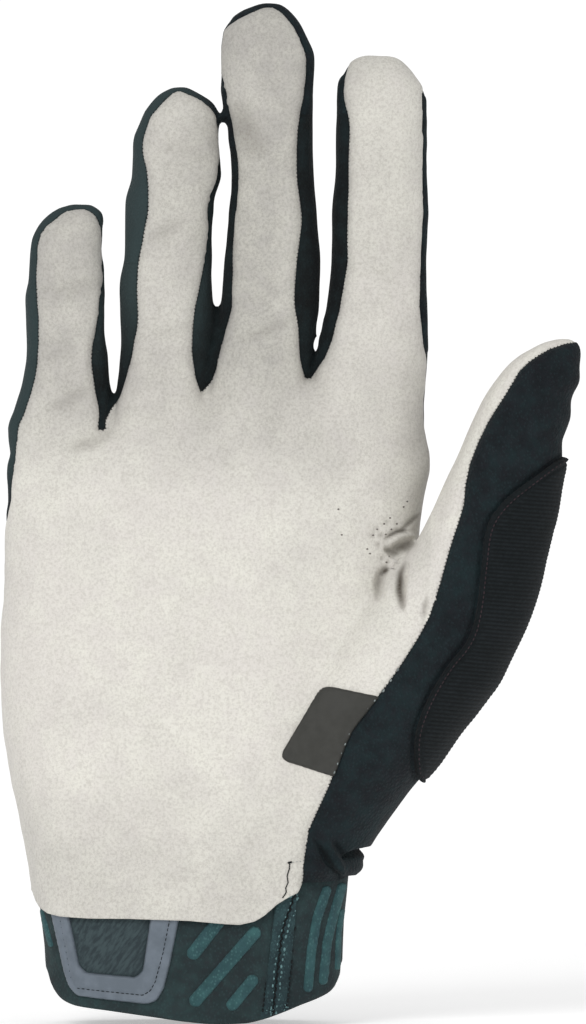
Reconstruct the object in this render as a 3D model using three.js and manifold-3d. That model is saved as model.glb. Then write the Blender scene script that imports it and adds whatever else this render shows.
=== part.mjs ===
// Long-fingered cycling glove for a right hand, shaped as it is when a hand fills it.
// A pale suede palm panel runs up the front of the fingers and the inner side of the thumb.
// Dark knit makes the back, the finger gussets and the thumb, and a slip-on cuff closes the wrist.
//
// Lengths are millimetres. X points to the thumb's side, Y from the palm to the back of the hand,
// and Z to the fingertips. The origin is the middle of the wrist opening, at the cuff's lowest edge.
import * as THREE from "three";
import { mergeVertices } from "three/addons/utils/BufferGeometryUtils.js";
import Module from "manifold-3d";

const wasm = await Module();
wasm.setup();

// Driving sizes: cloth
const clothWall = 1.2;
const cuffWall = 1.6;
const seamGap = 0.3;
const wipeThickness = 1.2;
const labelThickness = 0.7;
const frameThickness = 0.9;
const tapeThickness = 0.6;

// Driving sizes: palm and wrist
const palmWidth = 93.5;
const palmHeight = 112.2;
const palmDepth = 34;
const palmWrap = 3;
const hemHeight = 24.4;
const hemRollRadius = 1.9;
const cuffWidth = 65.6;
const cuffDepth = 39;
const cuffInsert = 11;

// Driving sizes: thumb
const thumbLength = 114.6;
const thumbReach = 51.7;
const thumbForward = 19;
const thumbWidth = 26.4;
const thumbDepth = 24;
const thumbWrap = 5;

// Driving sizes: fingers
const littleLength = 58.3;
const ringLength = 81.6;
const middleLength = 97.7;
const indexLength = 84.3;
const littleWidth = 17.6;
const ringWidth = 20.2;
const middleWidth = 20.2;
const indexWidth = 20.2;
const littleDepth = 16;
const ringDepth = 18;
const middleDepth = 18.5;
const indexDepth = 18;
const tipSeamDrop = 0.8;
const indexSeamRise = 0.6;
const fingerCurl = 9;
const tipRound = 10;
const gussetDepth = 5;
const gussetBelowCrotch = 8;
const gussetBelowTip = 13;

// Driving sizes: corners of the trim
const frameCorner = 5;
const labelCorner = 2.5;

// Sides of each loft's sections, and how square the sections are, where 2 is an ellipse
const fingerSides = 12;
const thumbSides = 16;
const palmSides = 28;
const fingerSquareness = 2.3;
const palmSquareness = 2.6;

// Far enough to pass the whole glove in any direction
const beyond = 2 * (palmWidth + thumbReach);

function table(columns, rows) {
  return rows.map((row) => Object.fromEntries(columns.map((name, i) => [name, row[i]])));
}

// Palm sections. up is a share of palmHeight above the hem, left and right are shares of
// palmWidth, front and back of palmDepth, and tilt is how much the section climbs to the thumb side.
const palmRows = table(
  ["up", "left", "right", "front", "back", "tilt"],
  [
    [-0.04, -0.375, 0.372, 0.63, 0.62, 0],
    [0.098, -0.388, 0.384, 0.62, 0.59, 0],
    [0.263, -0.43, 0.435, 0.6, 0.53, 0],
    [0.373, -0.447, 0.468, 0.58, 0.5, 0],
    [0.51, -0.45, 0.496, 0.54, 0.48, 0],
    [0.757, -0.44, 0.532, 0.44, 0.42, 0.03],
    [0.84, -0.433, 0.543, 0.38, 0.38, 0.08],
    [0.912, -0.43, 0.541, 0.32, 0.33, 0.15],
    [0.961, -0.43, 0.539, 0.27, 0.28, 0.2],
    [0.996, -0.407, 0.522, 0.15, 0.16, 0.22],
  ],
);

// Cuff sections below the hem. up is a share of hemHeight, left and right are shares of cuffWidth,
// and depth is a share of cuffDepth.
const cuffRows = table(
  ["up", "left", "right", "depth"],
  [
    [-0.1, -0.488, 0.496, 0.505],
    [0.44, -0.493, 0.5, 0.5],
    [0.69, -0.498, 0.5, 0.5],
  ],
);

// Lower edge of the cuff, seen from the palm: x as a share of cuffWidth, up of hemHeight.
const rimPoints = table(
  ["x", "up"],
  [
    [-0.6, 0.56],
    [-0.485, 0.44],
    [-0.43, 0.21],
    [-0.385, 0.16],
    [-0.13, 0.07],
    [0, 0.022],
    [0.1, 0],
    [0.175, 0.008],
    [0.31, 0.11],
    [0.43, 0.28],
    [0.505, 0.47],
    [0.6, 0.6],
  ],
);

// Lower hem of the palm panel, from the little finger's side to the thumb's.
const palmHem = table(
  ["x", "up"],
  [
    [-0.42, 0.045],
    [-0.367, 0.008],
    [-0.336, -0.008],
    [-0.007, -0.014],
    [0.11, -0.022],
    [0.146, -0.017],
    [0.198, 0.017],
    [0.242, 0.039],
  ],
);

// Top of the palm panel from the index finger to the little one, and its edge on that side.
const palmTop = table(
  ["x", "up"],
  [
    [0.6, 1.045],
    [0.275, 1.045],
    [0.026, 1.018],
    [-0.212, 0.941],
    [-0.419, 0.922],
    [-0.427, 0.892],
    [-0.438, 0.867],
    [-0.52, 0.843],
    [-0.52, 0.2],
  ],
);

// Share of palmHeight at which each crotch lies, from the little finger to the index finger.
const crotchShares = [0.941, 1.018, 1.045];

// Where the thumb's middle line starts: x as a share of palmWidth, up of palmHeight.
const thumbRoot = { x: 0.31, up: 0.0945 };
const thumbRootX = thumbRoot.x * palmWidth;
const thumbRootHeight = hemHeight + thumbRoot.up * palmHeight;

// Thumb sections. up is a share of thumbLength, left, right and seam are shares of thumbWidth from
// the leaning middle line, and front and back are shares of thumbDepth.
const thumbRows = table(
  ["up", "left", "right", "seam", "front", "back"],
  [
    [0, -0.8, 0.31, -0.175, 0.6, 0.6],
    [0.084, -0.9, 0.37, -0.26, 0.69, 0.62],
    [0.192, -1, 0.57, -0.275, 0.76, 0.6],
    [0.3, -0.98, 0.68, -0.225, 0.75, 0.57],
    [0.353, -0.9, 0.74, -0.15, 0.73, 0.56],
    [0.46, -0.7, 0.74, -0.07, 0.65, 0.52],
    [0.568, -0.5, 0.67, -0.13, 0.58, 0.48],
    [0.676, -0.43, 0.575, -0.2, 0.53, 0.46],
    [0.783, -0.44, 0.43, -0.325, 0.47, 0.44],
    [0.89, -0.425, 0.3, -0.28, 0.4, 0.4],
    [0.944, -0.36, 0.24, -0.25, 0.33, 0.34],
    [0.985, -0.19, 0.18, -0.08, 0.2, 0.21],
    [1, -0.02, 0.14, 0.16, 0.07, 0.07],
  ],
);

// Where the thumb parts from the palm, and the corners that lie outside its inner edge and its tip.
const webUp = 0.6;
const outsideShares = { inner: -0.55, tip: 0.3, innerUp: 0.72, above: 0.04 };

// Edge of the wipe panel: up as a share of thumbLength, across as a share of thumbWidth from the
// thumb's middle line.
const wipeEdge = table(
  ["up", "across"],
  [
    [0.8, 0.75],
    [0.777, 0.47],
    [0.723, 0.22],
    [0.689, 0.11],
    [0.645, 0.064],
    [0.576, 0.165],
    [0.482, 0.307],
    [0.426, 0.35],
    [0.378, 0.254],
    [0.299, 0.216],
    [0.229, 0.27],
    [0.144, 0.504],
    [0.1, 1.3],
    [0.8, 1.3],
  ],
);

// How far round the thumb the wipe reaches behind its middle, as a share of thumbDepth.
const wipeBackShare = 0.2;

// Finger sections. up is a share of the finger's length, and left, right, seamLeft and seamRight
// are shares of its width. The seams bound the pale palm panel. Past the outline they aren't seen.
const fingerColumns = ["up", "left", "right", "seamLeft", "seamRight"];

// Fingers from the little one to the index. x is a share of palmWidth and root of palmHeight, and
// the seam passes over the fingertip tipSeam below its top.
const fingers = [
  {
    name: "little",
    x: -0.298,
    root: 0.863,
    length: littleLength,
    width: littleWidth,
    depth: littleDepth,
    tipSeam: tipSeamDrop,
    rows: table(fingerColumns, [
      [0, -0.62, 0.575, -0.64, 0.45],
      [0.166, -0.71, 0.59, -0.575, 0.42],
      [0.325, -0.55, 0.575, -0.41, 0.38],
      [0.43, -0.5, 0.54, -0.36, 0.34],
      [0.536, -0.5, 0.475, -0.34, 0.42],
      [0.747, -0.45, 0.475, -0.39, 0.56],
      [0.906, -0.36, 0.46, -0.29, 0.56],
      [0.958, -0.21, 0.46, -0.09, 0.45],
      [1, 0.075, 0.3, 0.15, 0.22],
    ]),
  },
  {
    name: "ring",
    x: -0.049,
    root: 0.882,
    length: ringLength,
    width: ringWidth,
    depth: ringDepth,
    tipSeam: tipSeamDrop,
    rows: table(fingerColumns, [
      [0, -0.565, 0.54, -0.72, 0.52],
      [0.108, -0.65, 0.457, -0.707, 0.48],
      [0.243, -0.6, 0.4, -0.5, 0.266],
      [0.318, -0.576, 0.457, -0.424, 0.234],
      [0.469, -0.565, 0.435, -0.39, 0.32],
      [0.62, -0.51, 0.435, -0.304, 0.45],
      [0.771, -0.435, 0.53, -0.28, 0.505],
      [0.92, -0.326, 0.53, -0.26, 0.6],
      [0.966, -0.19, 0.45, -0.11, 0.45],
      [1, 0.0, 0.16, 0.05, 0.12],
    ]),
  },
  {
    name: "middle",
    x: 0.181,
    root: 0.902,
    length: middleLength,
    width: middleWidth,
    depth: middleDepth,
    tipSeam: tipSeamDrop,
    rows: table(fingerColumns, [
      [0, -0.565, 0.565, -0.75, 0.5],
      [0.133, -0.696, 0.457, -0.717, 0.46],
      [0.212, -0.64, 0.446, -0.576, 0.348],
      [0.338, -0.543, 0.533, -0.435, 0.277],
      [0.432, -0.489, 0.554, -0.424, 0.31],
      [0.622, -0.424, 0.478, -0.36, 0.31],
      [0.716, -0.478, 0.467, -0.424, 0.32],
      [0.811, -0.554, 0.467, -0.5, 0.397],
      [0.937, -0.51, 0.38, -0.6, 0.326],
      [0.975, -0.38, 0.26, -0.41, 0.2],
      [1, -0.11, 0.1, -0.06, 0.03],
    ]),
  },
  {
    name: "index",
    x: 0.437,
    root: 0.9215,
    length: indexLength,
    width: indexWidth,
    depth: indexDepth,
    tipSeam: -indexSeamRise,
    rows: table(fingerColumns, [
      [0, -0.62, 0.49, -0.79, 0.6],
      [0.128, -0.75, 0.5, -0.77, 0.6],
      [0.219, -0.674, 0.533, -0.587, 0.54],
      [0.366, -0.554, 0.51, -0.424, 0.44],
      [0.585, -0.52, 0.52, -0.359, 0.484],
      [0.804, -0.467, 0.51, -0.337, 0.462],
      [0.877, -0.457, 0.5, -0.4, 0.462],
      [0.95, -0.4, 0.39, -0.37, 0.52],
      [1, -0.2, 0.14, -0.3, 0.4],
    ]),
  },
].map((finger) => ({
  ...finger,
  x: finger.x * palmWidth,
  root: hemHeight + finger.root * palmHeight,
}));

// A finger's depth at its root and its tip, as shares of its named depth, and the section by which
// it goes down into the palm: how far below the root, and how much smaller.
const fingerTaper = { root: 1.1, tip: 0.92 };
const fingerFoot = { up: -0.3, share: 0.7 };

// The label on the palm: x as a share of palmWidth, up of palmHeight.
const labelCorners = table(
  ["x", "up"],
  [
    [0.299, 0.446],
    [0.47, 0.42],
    [0.37, 0.255],
    [0.198, 0.301],
  ],
);

// The pull frame on the cuff: x as a share of cuffWidth, up of hemHeight.
const frameOuter = table(
  ["x", "up"],
  [
    [-0.475, 1.2],
    [-0.404, 0.12],
    [-0.13, 0.08],
    [-0.035, 1.2],
  ],
);
const frameInner = table(
  ["x", "up"],
  [
    [-0.42, 1.3],
    [-0.37, 0.5],
    [-0.17, 0.45],
    [-0.12, 1.3],
  ],
);

// The seam tape on the cuff: its corners, x as a share of cuffWidth, up of hemHeight.
const tapeCorners = table(
  ["x", "up"],
  [
    [0.232, -0.1],
    [0.312, -0.1],
    [0.352, 1.3],
    [0.277, 1.3],
  ],
);

// Hem of the dark pieces, which climbs to the thumb's side: x as a share of palmWidth, up of
// palmHeight.
const darkHem = table(
  ["x", "up"],
  [
    [-0.6, -0.01],
    [-0.37, 0.005],
    [0.39, 0.06],
    [1.5, 0.06],
  ],
);

// The rolled hem beside the wrist: its height, and the angles round the wrist that it passes.
const hemRollUp = 0.087;
const hemRollAngles = [-48, -30, -12, 8, 28, 46];

// Value of a column between two rows of a table
function columnAt(rows, column, up) {
  const next = rows.findIndex((row) => row.up >= up);
  if (next < 1) return rows[next < 0 ? rows.length - 1 : 0][column];
  const low = rows[next - 1];
  const high = rows[next];
  return THREE.MathUtils.mapLinear(up, low.up, high.up, low[column], high[column]);
}

// How far the middle of a finger stands forward at a height, from the knuckles up
function curlAt(z) {
  const longest = fingers[2];
  const share = (z - longest.root) / longest.length;
  return -fingerCurl * THREE.MathUtils.clamp(share, 0, 1.1) ** 2;
}

function thumbMiddleY(up) {
  return -thumbForward * up ** 1.2;
}

function thumbX(up, across) {
  return thumbRootX + thumbReach * up + across * thumbWidth;
}

function thumbZ(up) {
  return thumbRootHeight + up * thumbLength;
}

// A section grown outwards by a distance. Near a closed end it also moves, by its tip share.
function grown(section, by) {
  const least = clothWall / 3;
  const middle = (section.left + section.right) / 2;
  const half = Math.max((section.right - section.left) / 2 + by, least);
  return {
    ...section,
    left: middle - half,
    right: middle + half,
    front: Math.max(section.front + by, least),
    back: Math.max(section.back + by, least),
    z: section.z + by * section.tipShare,
  };
}

function palmSections(by, rows = palmRows) {
  return rows.map((row) =>
    grown(
      {
        left: row.left * palmWidth,
        right: row.right * palmWidth,
        front: row.front * palmDepth,
        back: row.back * palmDepth,
        middleY: 0,
        tilt: row.tilt,
        z: hemHeight + row.up * palmHeight,
        tipShare: THREE.MathUtils.smoothstep(row.up, 0.9, 1),
      },
      by,
    ),
  );
}

function thumbSections(by) {
  return thumbRows.map((row) =>
    grown(
      {
        left: thumbX(row.up, row.left),
        right: thumbX(row.up, row.right),
        front: row.front * thumbDepth,
        back: row.back * thumbDepth,
        middleY: thumbMiddleY(row.up),
        tilt: 0,
        z: thumbZ(row.up),
        tipShare: THREE.MathUtils.smoothstep(row.up, 0.93, 1),
      },
      by,
    ),
  );
}

function fingerSections(finger, by) {
  const foot = { ...finger.rows[0], up: fingerFoot.up };
  return [foot, ...finger.rows].map((row) => {
    const z = finger.root + row.up * finger.length;
    const fromTip = finger.length * (1 - row.up) + 0.04 * tipRound;
    const rounding = Math.sqrt(1 - Math.max(1 - fromTip / tipRound, 0) ** 2);
    const taper = THREE.MathUtils.lerp(fingerTaper.root, fingerTaper.tip, row.up);
    const share = row === foot ? fingerFoot.share : 1;
    return grown(
      {
        left: finger.x + row.left * finger.width * share,
        right: finger.x + row.right * finger.width * share,
        front: (finger.depth / 2) * taper * rounding * share,
        back: (finger.depth / 2) * taper * rounding * share,
        middleY: curlAt(z),
        tilt: 0,
        z,
        tipShare: THREE.MathUtils.smoothstep(row.up, 0.9, 1),
      },
      by,
    );
  });
}

// Cuff sections: its own rows below the hem, then just inside the hand's lining face
function cuffSections(by) {
  const low = cuffRows.map((row) => ({
    left: row.left * cuffWidth,
    right: row.right * cuffWidth,
    front: row.depth * cuffDepth,
    back: row.depth * cuffDepth,
    middleY: 0,
    tilt: 0,
    z: row.up * hemHeight,
    tipShare: 0,
  }));
  const top = { ...palmRows[0], up: cuffInsert / palmHeight };
  for (const column of ["left", "right", "front", "back"])
    top[column] = columnAt(palmRows, column, top.up);
  const high = palmSections(-clothWall - seamGap, [palmRows[0], top]);
  return [...low, ...high].map((section) => grown(section, by));
}

// A solid from a three.js geometry
function solidOf(geometry) {
  const bare = geometry.clone();
  bare.deleteAttribute("normal");
  bare.deleteAttribute("uv");
  const merged = mergeVertices(bare, 1e-4);
  const mesh = new wasm.Mesh({
    numProp: 3,
    vertProperties: new Float32Array(merged.attributes.position.array),
    triVerts: new Uint32Array(merged.index.array),
  });
  return new wasm.Manifold(mesh);
}

// A three.js geometry from a solid
function geometryOf(solid) {
  const mesh = solid.getMesh();
  const geometry = new THREE.BufferGeometry();
  geometry.setAttribute("position", new THREE.BufferAttribute(mesh.vertProperties, 3));
  geometry.setIndex(new THREE.BufferAttribute(mesh.triVerts, 1));
  const flat = geometry.toNonIndexed();
  flat.computeVertexNormals();
  return flat;
}

function power(value, exponent) {
  return Math.sign(value) * Math.abs(value) ** exponent;
}

// A closed loft through the sections: a cylinder whose rings are moved onto them
function loft(sections, sides, squareness) {
  const levels = sections.length - 1;
  const geometry = new THREE.CylinderGeometry(1, 1, 1, sides, levels);
  const position = geometry.attributes.position;
  for (let i = 0; i < position.count; i++) {
    const section = sections[Math.round((position.getY(i) + 0.5) * levels)];
    const across = position.getX(i);
    const through = -position.getZ(i);
    const radius = Math.hypot(across, through);
    const half = (section.right - section.left) / 2;
    const depth = through > 0 ? section.back : section.front;
    const dx = half * radius * power(radius ? across / radius : 0, 2 / squareness);
    const dy = depth * radius * power(radius ? through / radius : 0, 2 / squareness);
    position.setXYZ(
      i,
      (section.left + section.right) / 2 + dx,
      section.middleY + dy,
      section.z + dx * section.tilt,
    );
  }
  return solidOf(geometry);
}

// A shape through the points, with its corners rounded if a radius is given
function outline(points, corner = 0) {
  const vectors = points.map(([x, y]) => new THREE.Vector2(x, y));
  if (!corner) return new THREE.Shape(vectors);
  const shape = new THREE.Shape();
  vectors.forEach((point, i) => {
    const before = vectors.at(i - 1);
    const after = vectors[(i + 1) % vectors.length];
    const entry = point.clone().add(before.clone().sub(point).setLength(corner));
    const exit = point.clone().add(after.clone().sub(point).setLength(corner));
    if (i === 0) shape.moveTo(entry.x, entry.y);
    else shape.lineTo(entry.x, entry.y);
    shape.quadraticCurveTo(point.x, point.y, exit.x, exit.y);
  });
  shape.closePath();
  return shape;
}

// A prism through the glove from yFront to yBack, over an outline seen from the palm
function prism(points, yFront = -beyond, yBack = beyond, corner = 0) {
  const geometry = new THREE.ExtrudeGeometry(outline(points, corner), {
    depth: yBack - yFront,
    bevelEnabled: false,
    curveSegments: 3,
  });
  geometry.rotateX(Math.PI / 2);
  geometry.translate(0, yBack, 0);
  return solidOf(geometry);
}

// A prism from side to side that holds all in front of a line seen from the side, as y and z
function inFrontOf(line) {
  const foot = line[0];
  const head = line.at(-1);
  const points = [[-beyond, foot[1]], ...line, [head[0], beyond * 2], [-beyond, beyond * 2]];
  const geometry = new THREE.ExtrudeGeometry(outline(points), {
    depth: 2 * beyond,
    bevelEnabled: false,
  });
  const turn = new THREE.Matrix4().makeBasis(
    new THREE.Vector3(0, 1, 0),
    new THREE.Vector3(0, 0, 1),
    new THREE.Vector3(1, 0, 0),
  );
  geometry.applyMatrix4(turn);
  geometry.translate(-beyond, 0, 0);
  return solidOf(geometry);
}

function union(solids) {
  return solids.reduce((all, solid) => all.add(solid));
}

// Cutting can leave crumbs beside a seam: the piece is the largest body
function largest(solid) {
  const bodies = solid.decompose();
  return bodies.reduce((best, body) => (body.volume() > best.volume() ? body : best));
}

function onPalm(points) {
  return points.map((point) => [point.x * palmWidth, hemHeight + point.up * palmHeight]);
}

function onCuff(points) {
  return points.map((point) => [point.x * cuffWidth, point.up * hemHeight]);
}

function onThumb(points) {
  return points.map((point) => [thumbX(point.up, point.across), thumbZ(point.up)]);
}

// The whole hand as one solid, grown or shrunk by a distance
function handSolid(by) {
  return union([
    loft(palmSections(by), palmSides, palmSquareness),
    loft(thumbSections(by), thumbSides, fingerSquareness),
    ...fingers.map((finger) => loft(fingerSections(finger, by), fingerSides, fingerSquareness)),
  ]);
}

function cuffSolid(by) {
  return loft(cuffSections(by), palmSides, palmSquareness);
}

// The hollow of the cuff, which runs out past both its ends
function cuffHollow() {
  const sections = cuffSections(-cuffWall);
  const foot = { ...sections[0], z: sections[0].z - hemHeight };
  const head = { ...sections.at(-1), z: sections.at(-1).z + hemHeight };
  return loft([foot, ...sections, head], palmSides, palmSquareness);
}

// What lies in front of the side seams, which follow the fingers' curl
function frontOfSeams(gap) {
  const top = fingers[2].root + fingers[2].length;
  const shares = [0, 0.25, 0.5, 0.75, 1];
  const curve = shares.map((share) => {
    const z = THREE.MathUtils.lerp(fingers[3].root, top, share);
    return [curlAt(z) + gap, z];
  });
  const knuckle = hemHeight + 0.75 * palmHeight;
  return inFrontOf([[palmWrap + gap, -beyond], [palmWrap + gap, knuckle], ...curve]);
}

// What lies in front of the seam behind the thumb, from the web up
function frontOfThumbSeam(gap) {
  return inFrontOf([
    [palmWrap + gap, thumbZ(webUp)],
    [thumbMiddleY(1) + thumbWrap + gap, thumbZ(1)],
  ]);
}

// The seam between the pale panel and the dark side of the thumb, from a height up
function thumbSeam(gap, fromUp = 0) {
  const rows = thumbRows.filter((row) => row.up >= fromUp);
  return rows.map((row) => [thumbX(row.up, row.seam) + gap, thumbZ(row.up) - gap * row.up]);
}

// Corners outside the thumb, round its tip and down its inner edge
function outsideThumb(gap) {
  const tip = thumbX(1, outsideShares.tip);
  const top = thumbZ(1 + outsideShares.above);
  return [
    [tip, thumbZ(1) + gap],
    [tip, top],
    [thumbX(1, outsideShares.inner), top],
    [thumbX(outsideShares.innerUp, outsideShares.inner), thumbZ(outsideShares.innerUp)],
  ];
}

// A finger's share of the pale panel, between its seams
function fingerStrip(finger, gap) {
  const at = (row, share, side) => [
    finger.x + share * finger.width + side * gap,
    finger.root + row.up * finger.length - finger.tipSeam + gap,
  ];
  const right = finger.rows.map((row) => at(row, row.seamRight, 1));
  const left = finger.rows.map((row) => at(row, row.seamLeft, -1));
  return prism([...right, ...left.reverse()]);
}

// Everything that the pale panel covers
function paleRegion(gap) {
  const hem = onPalm(palmHem).map(([x, z]) => [x, z - gap]);
  const top = onPalm(palmTop).map(([x, z]) => [x, z + gap]);
  const palm = prism([...hem, ...thumbSeam(gap, 0.03), ...outsideThumb(gap), ...top]);
  const strips = fingers.map((finger) => fingerStrip(finger, gap));
  const thumbStrip = prism([
    ...thumbSeam(gap, webUp),
    ...outsideThumb(gap),
    [thumbX(webUp, outsideShares.inner), thumbZ(webUp)],
  ]);
  return union([palm, ...strips])
    .intersect(frontOfSeams(gap))
    .add(thumbStrip.intersect(frontOfThumbSeam(gap)));
}

// The dark thumb piece: past the thumb's seam in front, and all the thumb's back from the web up
function thumbRegion(gap) {
  const outer = 2 * palmWidth;
  const seam = thumbSeam(-gap);
  const front = prism([[seam[0][0], 0], ...seam, [outer, thumbZ(1)], [outer, 0]]);
  const back = prism([
    [seam[0][0], seam[0][1]],
    [thumbX(webUp, outsideShares.inner) - gap, thumbZ(webUp)],
    ...outsideThumb(gap).reverse(),
    [outer, thumbZ(1)],
    [outer, seam[0][1]],
  ]);
  const pale = inFrontOf([
    [palmWrap - gap, -beyond],
    [palmWrap - gap, thumbZ(webUp)],
    [thumbMiddleY(1) + thumbWrap - gap, thumbZ(1)],
  ]);
  return front.add(back.subtract(pale));
}

// The gusset between two fingers runs down one side, through the crotch and up the other
function gussetRegion(i, gap) {
  const one = fingers[i];
  const other = fingers[i + 1];
  const low = hemHeight + crotchShares[i] * palmHeight - gussetBelowCrotch - gap;
  const high = Math.min(one.root + one.length, other.root + other.length) - gussetBelowTip + gap;
  const between = prism([
    [one.x - gap, low],
    [other.x + gap, low],
    [other.x + gap, high],
    [one.x - gap, high],
  ]);
  const levels = [low - seamGap, (low + high) / 2, high + seamGap];
  return between.intersect(inFrontOf(levels.map((z) => [curlAt(z) + gussetDepth + gap, z])));
}

// What lies above the hem of the dark pieces
function aboveHem() {
  const hem = onPalm(darkHem);
  return prism([...hem, [hem.at(-1)[0], 2 * beyond], [hem[0][0], 2 * beyond]]);
}

// The rolled hem that stands out beside the wrist, under the thumb
function hemRoll() {
  const left = columnAt(palmRows, "left", hemRollUp) * palmWidth;
  const right = columnAt(palmRows, "right", hemRollUp) * palmWidth;
  const points = hemRollAngles.map((degrees) => {
    const angle = THREE.MathUtils.degToRad(degrees);
    const depth = palmDepth * columnAt(palmRows, degrees < 0 ? "front" : "back", hemRollUp);
    return new THREE.Vector3(
      (left + right) / 2 + ((right - left) / 2) * power(Math.cos(angle), 2 / palmSquareness),
      depth * power(Math.sin(angle), 2 / palmSquareness),
      hemHeight + hemRollUp * palmHeight,
    );
  });
  const section = new THREE.Shape().absarc(0, 0, hemRollRadius, 0, 2 * Math.PI);
  const geometry = new THREE.ExtrudeGeometry(section, {
    steps: 10,
    curveSegments: 5,
    bevelEnabled: false,
    extrudePath: new THREE.CatmullRomCurve3(points),
  });
  return solidOf(geometry);
}

// A thin piece that lies on a body, over a region, from the seam gap up to its thickness
function overlay(bodyAt, thickness, region) {
  return bodyAt(seamGap + thickness).intersect(region).subtract(bodyAt(seamGap));
}

const handInner = handSolid(-clothWall);
const shell = handSolid(0).subtract(handInner);
const paleWithGap = paleRegion(seamGap);
const dark = shell.subtract(paleWithGap).intersect(aboveHem());

const palmPanel = largest(shell.intersect(paleRegion(0)));
const gussets = crotchShares.map((share, i) => largest(dark.intersect(gussetRegion(i, 0))));
const gussetSpace = union(crotchShares.map((share, i) => gussetRegion(i, seamGap)));
const roll = hemRoll().subtract(handInner).intersect(aboveHem()).subtract(paleWithGap);
const thumbPanel = largest(dark.add(roll).intersect(thumbRegion(0)));
const backPanel = largest(dark.subtract(thumbRegion(seamGap)).subtract(gussetSpace));

const wipeHalf = inFrontOf(
  [0, 0.5, 1].map((up) => [thumbMiddleY(up) + wipeBackShare * thumbDepth, thumbZ(up)]),
);
const wipe = largest(
  overlay(handSolid, wipeThickness, prism(onThumb(wipeEdge)).intersect(wipeHalf)),
);

const labelRegion = prism(onPalm(labelCorners), -beyond, 0, labelCorner);
const label = largest(
  overlay(handSolid, labelThickness, labelRegion).subtract(thumbRegion(seamGap)),
);

// The cuff is a ring of its own that runs up inside the hem
const rim = prism([
  ...onCuff(rimPoints),
  [0.6 * cuffWidth, 3 * hemHeight],
  [-0.6 * cuffWidth, 3 * hemHeight],
]);
const cuffBand = largest(cuffSolid(0).subtract(cuffHollow()).intersect(rim));

// The frame and the tape lie on the cuff and stop just short of the hems above them
const hemSpace = paleWithGap.add(handSolid(seamGap).intersect(aboveHem()));

function onCuffFace(thickness, region) {
  return largest(overlay(cuffSolid, thickness, region).intersect(rim).subtract(hemSpace));
}

const frameRegion = prism(onCuff(frameOuter), -beyond, 0, frameCorner).subtract(
  prism(onCuff(frameInner), -2 * beyond, 1, frameCorner),
);
const frame = onCuffFace(frameThickness, frameRegion);
const tape = onCuffFace(tapeThickness, prism(onCuff(tapeCorners), -beyond, 0));

const suede = new THREE.MeshStandardMaterial({ color: 0xd2cfc8, roughness: 0.95 });
const knit = new THREE.MeshStandardMaterial({ color: 0x24343a, roughness: 0.9 });
const gussetKnit = new THREE.MeshStandardMaterial({ color: 0x1a2528, roughness: 0.9 });
const terry = new THREE.MeshStandardMaterial({ color: 0x16191b, roughness: 1 });
const cuffKnit = new THREE.MeshStandardMaterial({ color: 0x2f3f42, roughness: 0.85 });
const silicone = new THREE.MeshStandardMaterial({ color: 0x6c7382, roughness: 0.55 });
const tapeCloth = new THREE.MeshStandardMaterial({ color: 0x2b5154, roughness: 0.8 });
const labelRubber = new THREE.MeshStandardMaterial({ color: 0x4a4a48, roughness: 0.6 });

const glove = new THREE.Group();

function addPiece(name, solid, material) {
  const mesh = new THREE.Mesh(geometryOf(solid), material);
  mesh.name = name;
  glove.add(mesh);
}

addPiece("palm_panel", palmPanel, suede);
addPiece("back_panel", backPanel, knit);
gussets.forEach((gusset, i) => {
  addPiece(`gusset_${fingers[i].name}_${fingers[i + 1].name}`, gusset, gussetKnit);
});
addPiece("thumb_panel", thumbPanel, knit);
addPiece("thumb_wipe", wipe, terry);
addPiece("cuff_band", cuffBand, cuffKnit);
addPiece("cuff_pull_frame", frame, silicone);
addPiece("cuff_seam_tape", tape, tapeCloth);
addPiece("palm_label", label, labelRubber);

export default glove;
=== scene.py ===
import math
import random

import bmesh
import bpy
import numpy as np
from mathutils import Matrix, Vector, noise
from mathutils.bvhtree import BVHTree
from mathutils.kdtree import KDTree


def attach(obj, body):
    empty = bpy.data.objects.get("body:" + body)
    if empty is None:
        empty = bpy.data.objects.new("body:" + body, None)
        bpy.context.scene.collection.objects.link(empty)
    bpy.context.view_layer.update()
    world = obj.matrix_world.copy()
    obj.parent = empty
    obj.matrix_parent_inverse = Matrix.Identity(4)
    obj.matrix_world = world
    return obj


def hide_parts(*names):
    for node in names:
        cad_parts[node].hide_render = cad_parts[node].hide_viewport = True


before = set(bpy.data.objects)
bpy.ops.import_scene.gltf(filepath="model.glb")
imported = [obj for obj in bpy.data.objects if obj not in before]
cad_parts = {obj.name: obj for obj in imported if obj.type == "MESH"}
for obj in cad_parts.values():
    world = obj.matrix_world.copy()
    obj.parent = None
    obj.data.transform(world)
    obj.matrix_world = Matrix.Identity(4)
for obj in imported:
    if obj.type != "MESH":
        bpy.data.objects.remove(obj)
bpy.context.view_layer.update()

# The glove is shaped in millimetres: X to the thumb's side, Y to the back of the hand, Z to the fingertips.
# Each finished mesh is scaled to metres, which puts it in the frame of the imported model.
metresInMillimetre = 0.001
farAway = 300.0
luck = random.Random(11)

glove = {
    "skinCell": 0.75,      # size of the faces that the cloth is made of
    "clothWall": 1.1,
    "roundness": 2.3,      # of the fingers' sections, where 2 is an ellipse
    "palmRoundness": 2.6,
    "palmSides": 72,
    "thumbSides": 48,
    "fingerSides": 40,
}

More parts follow.
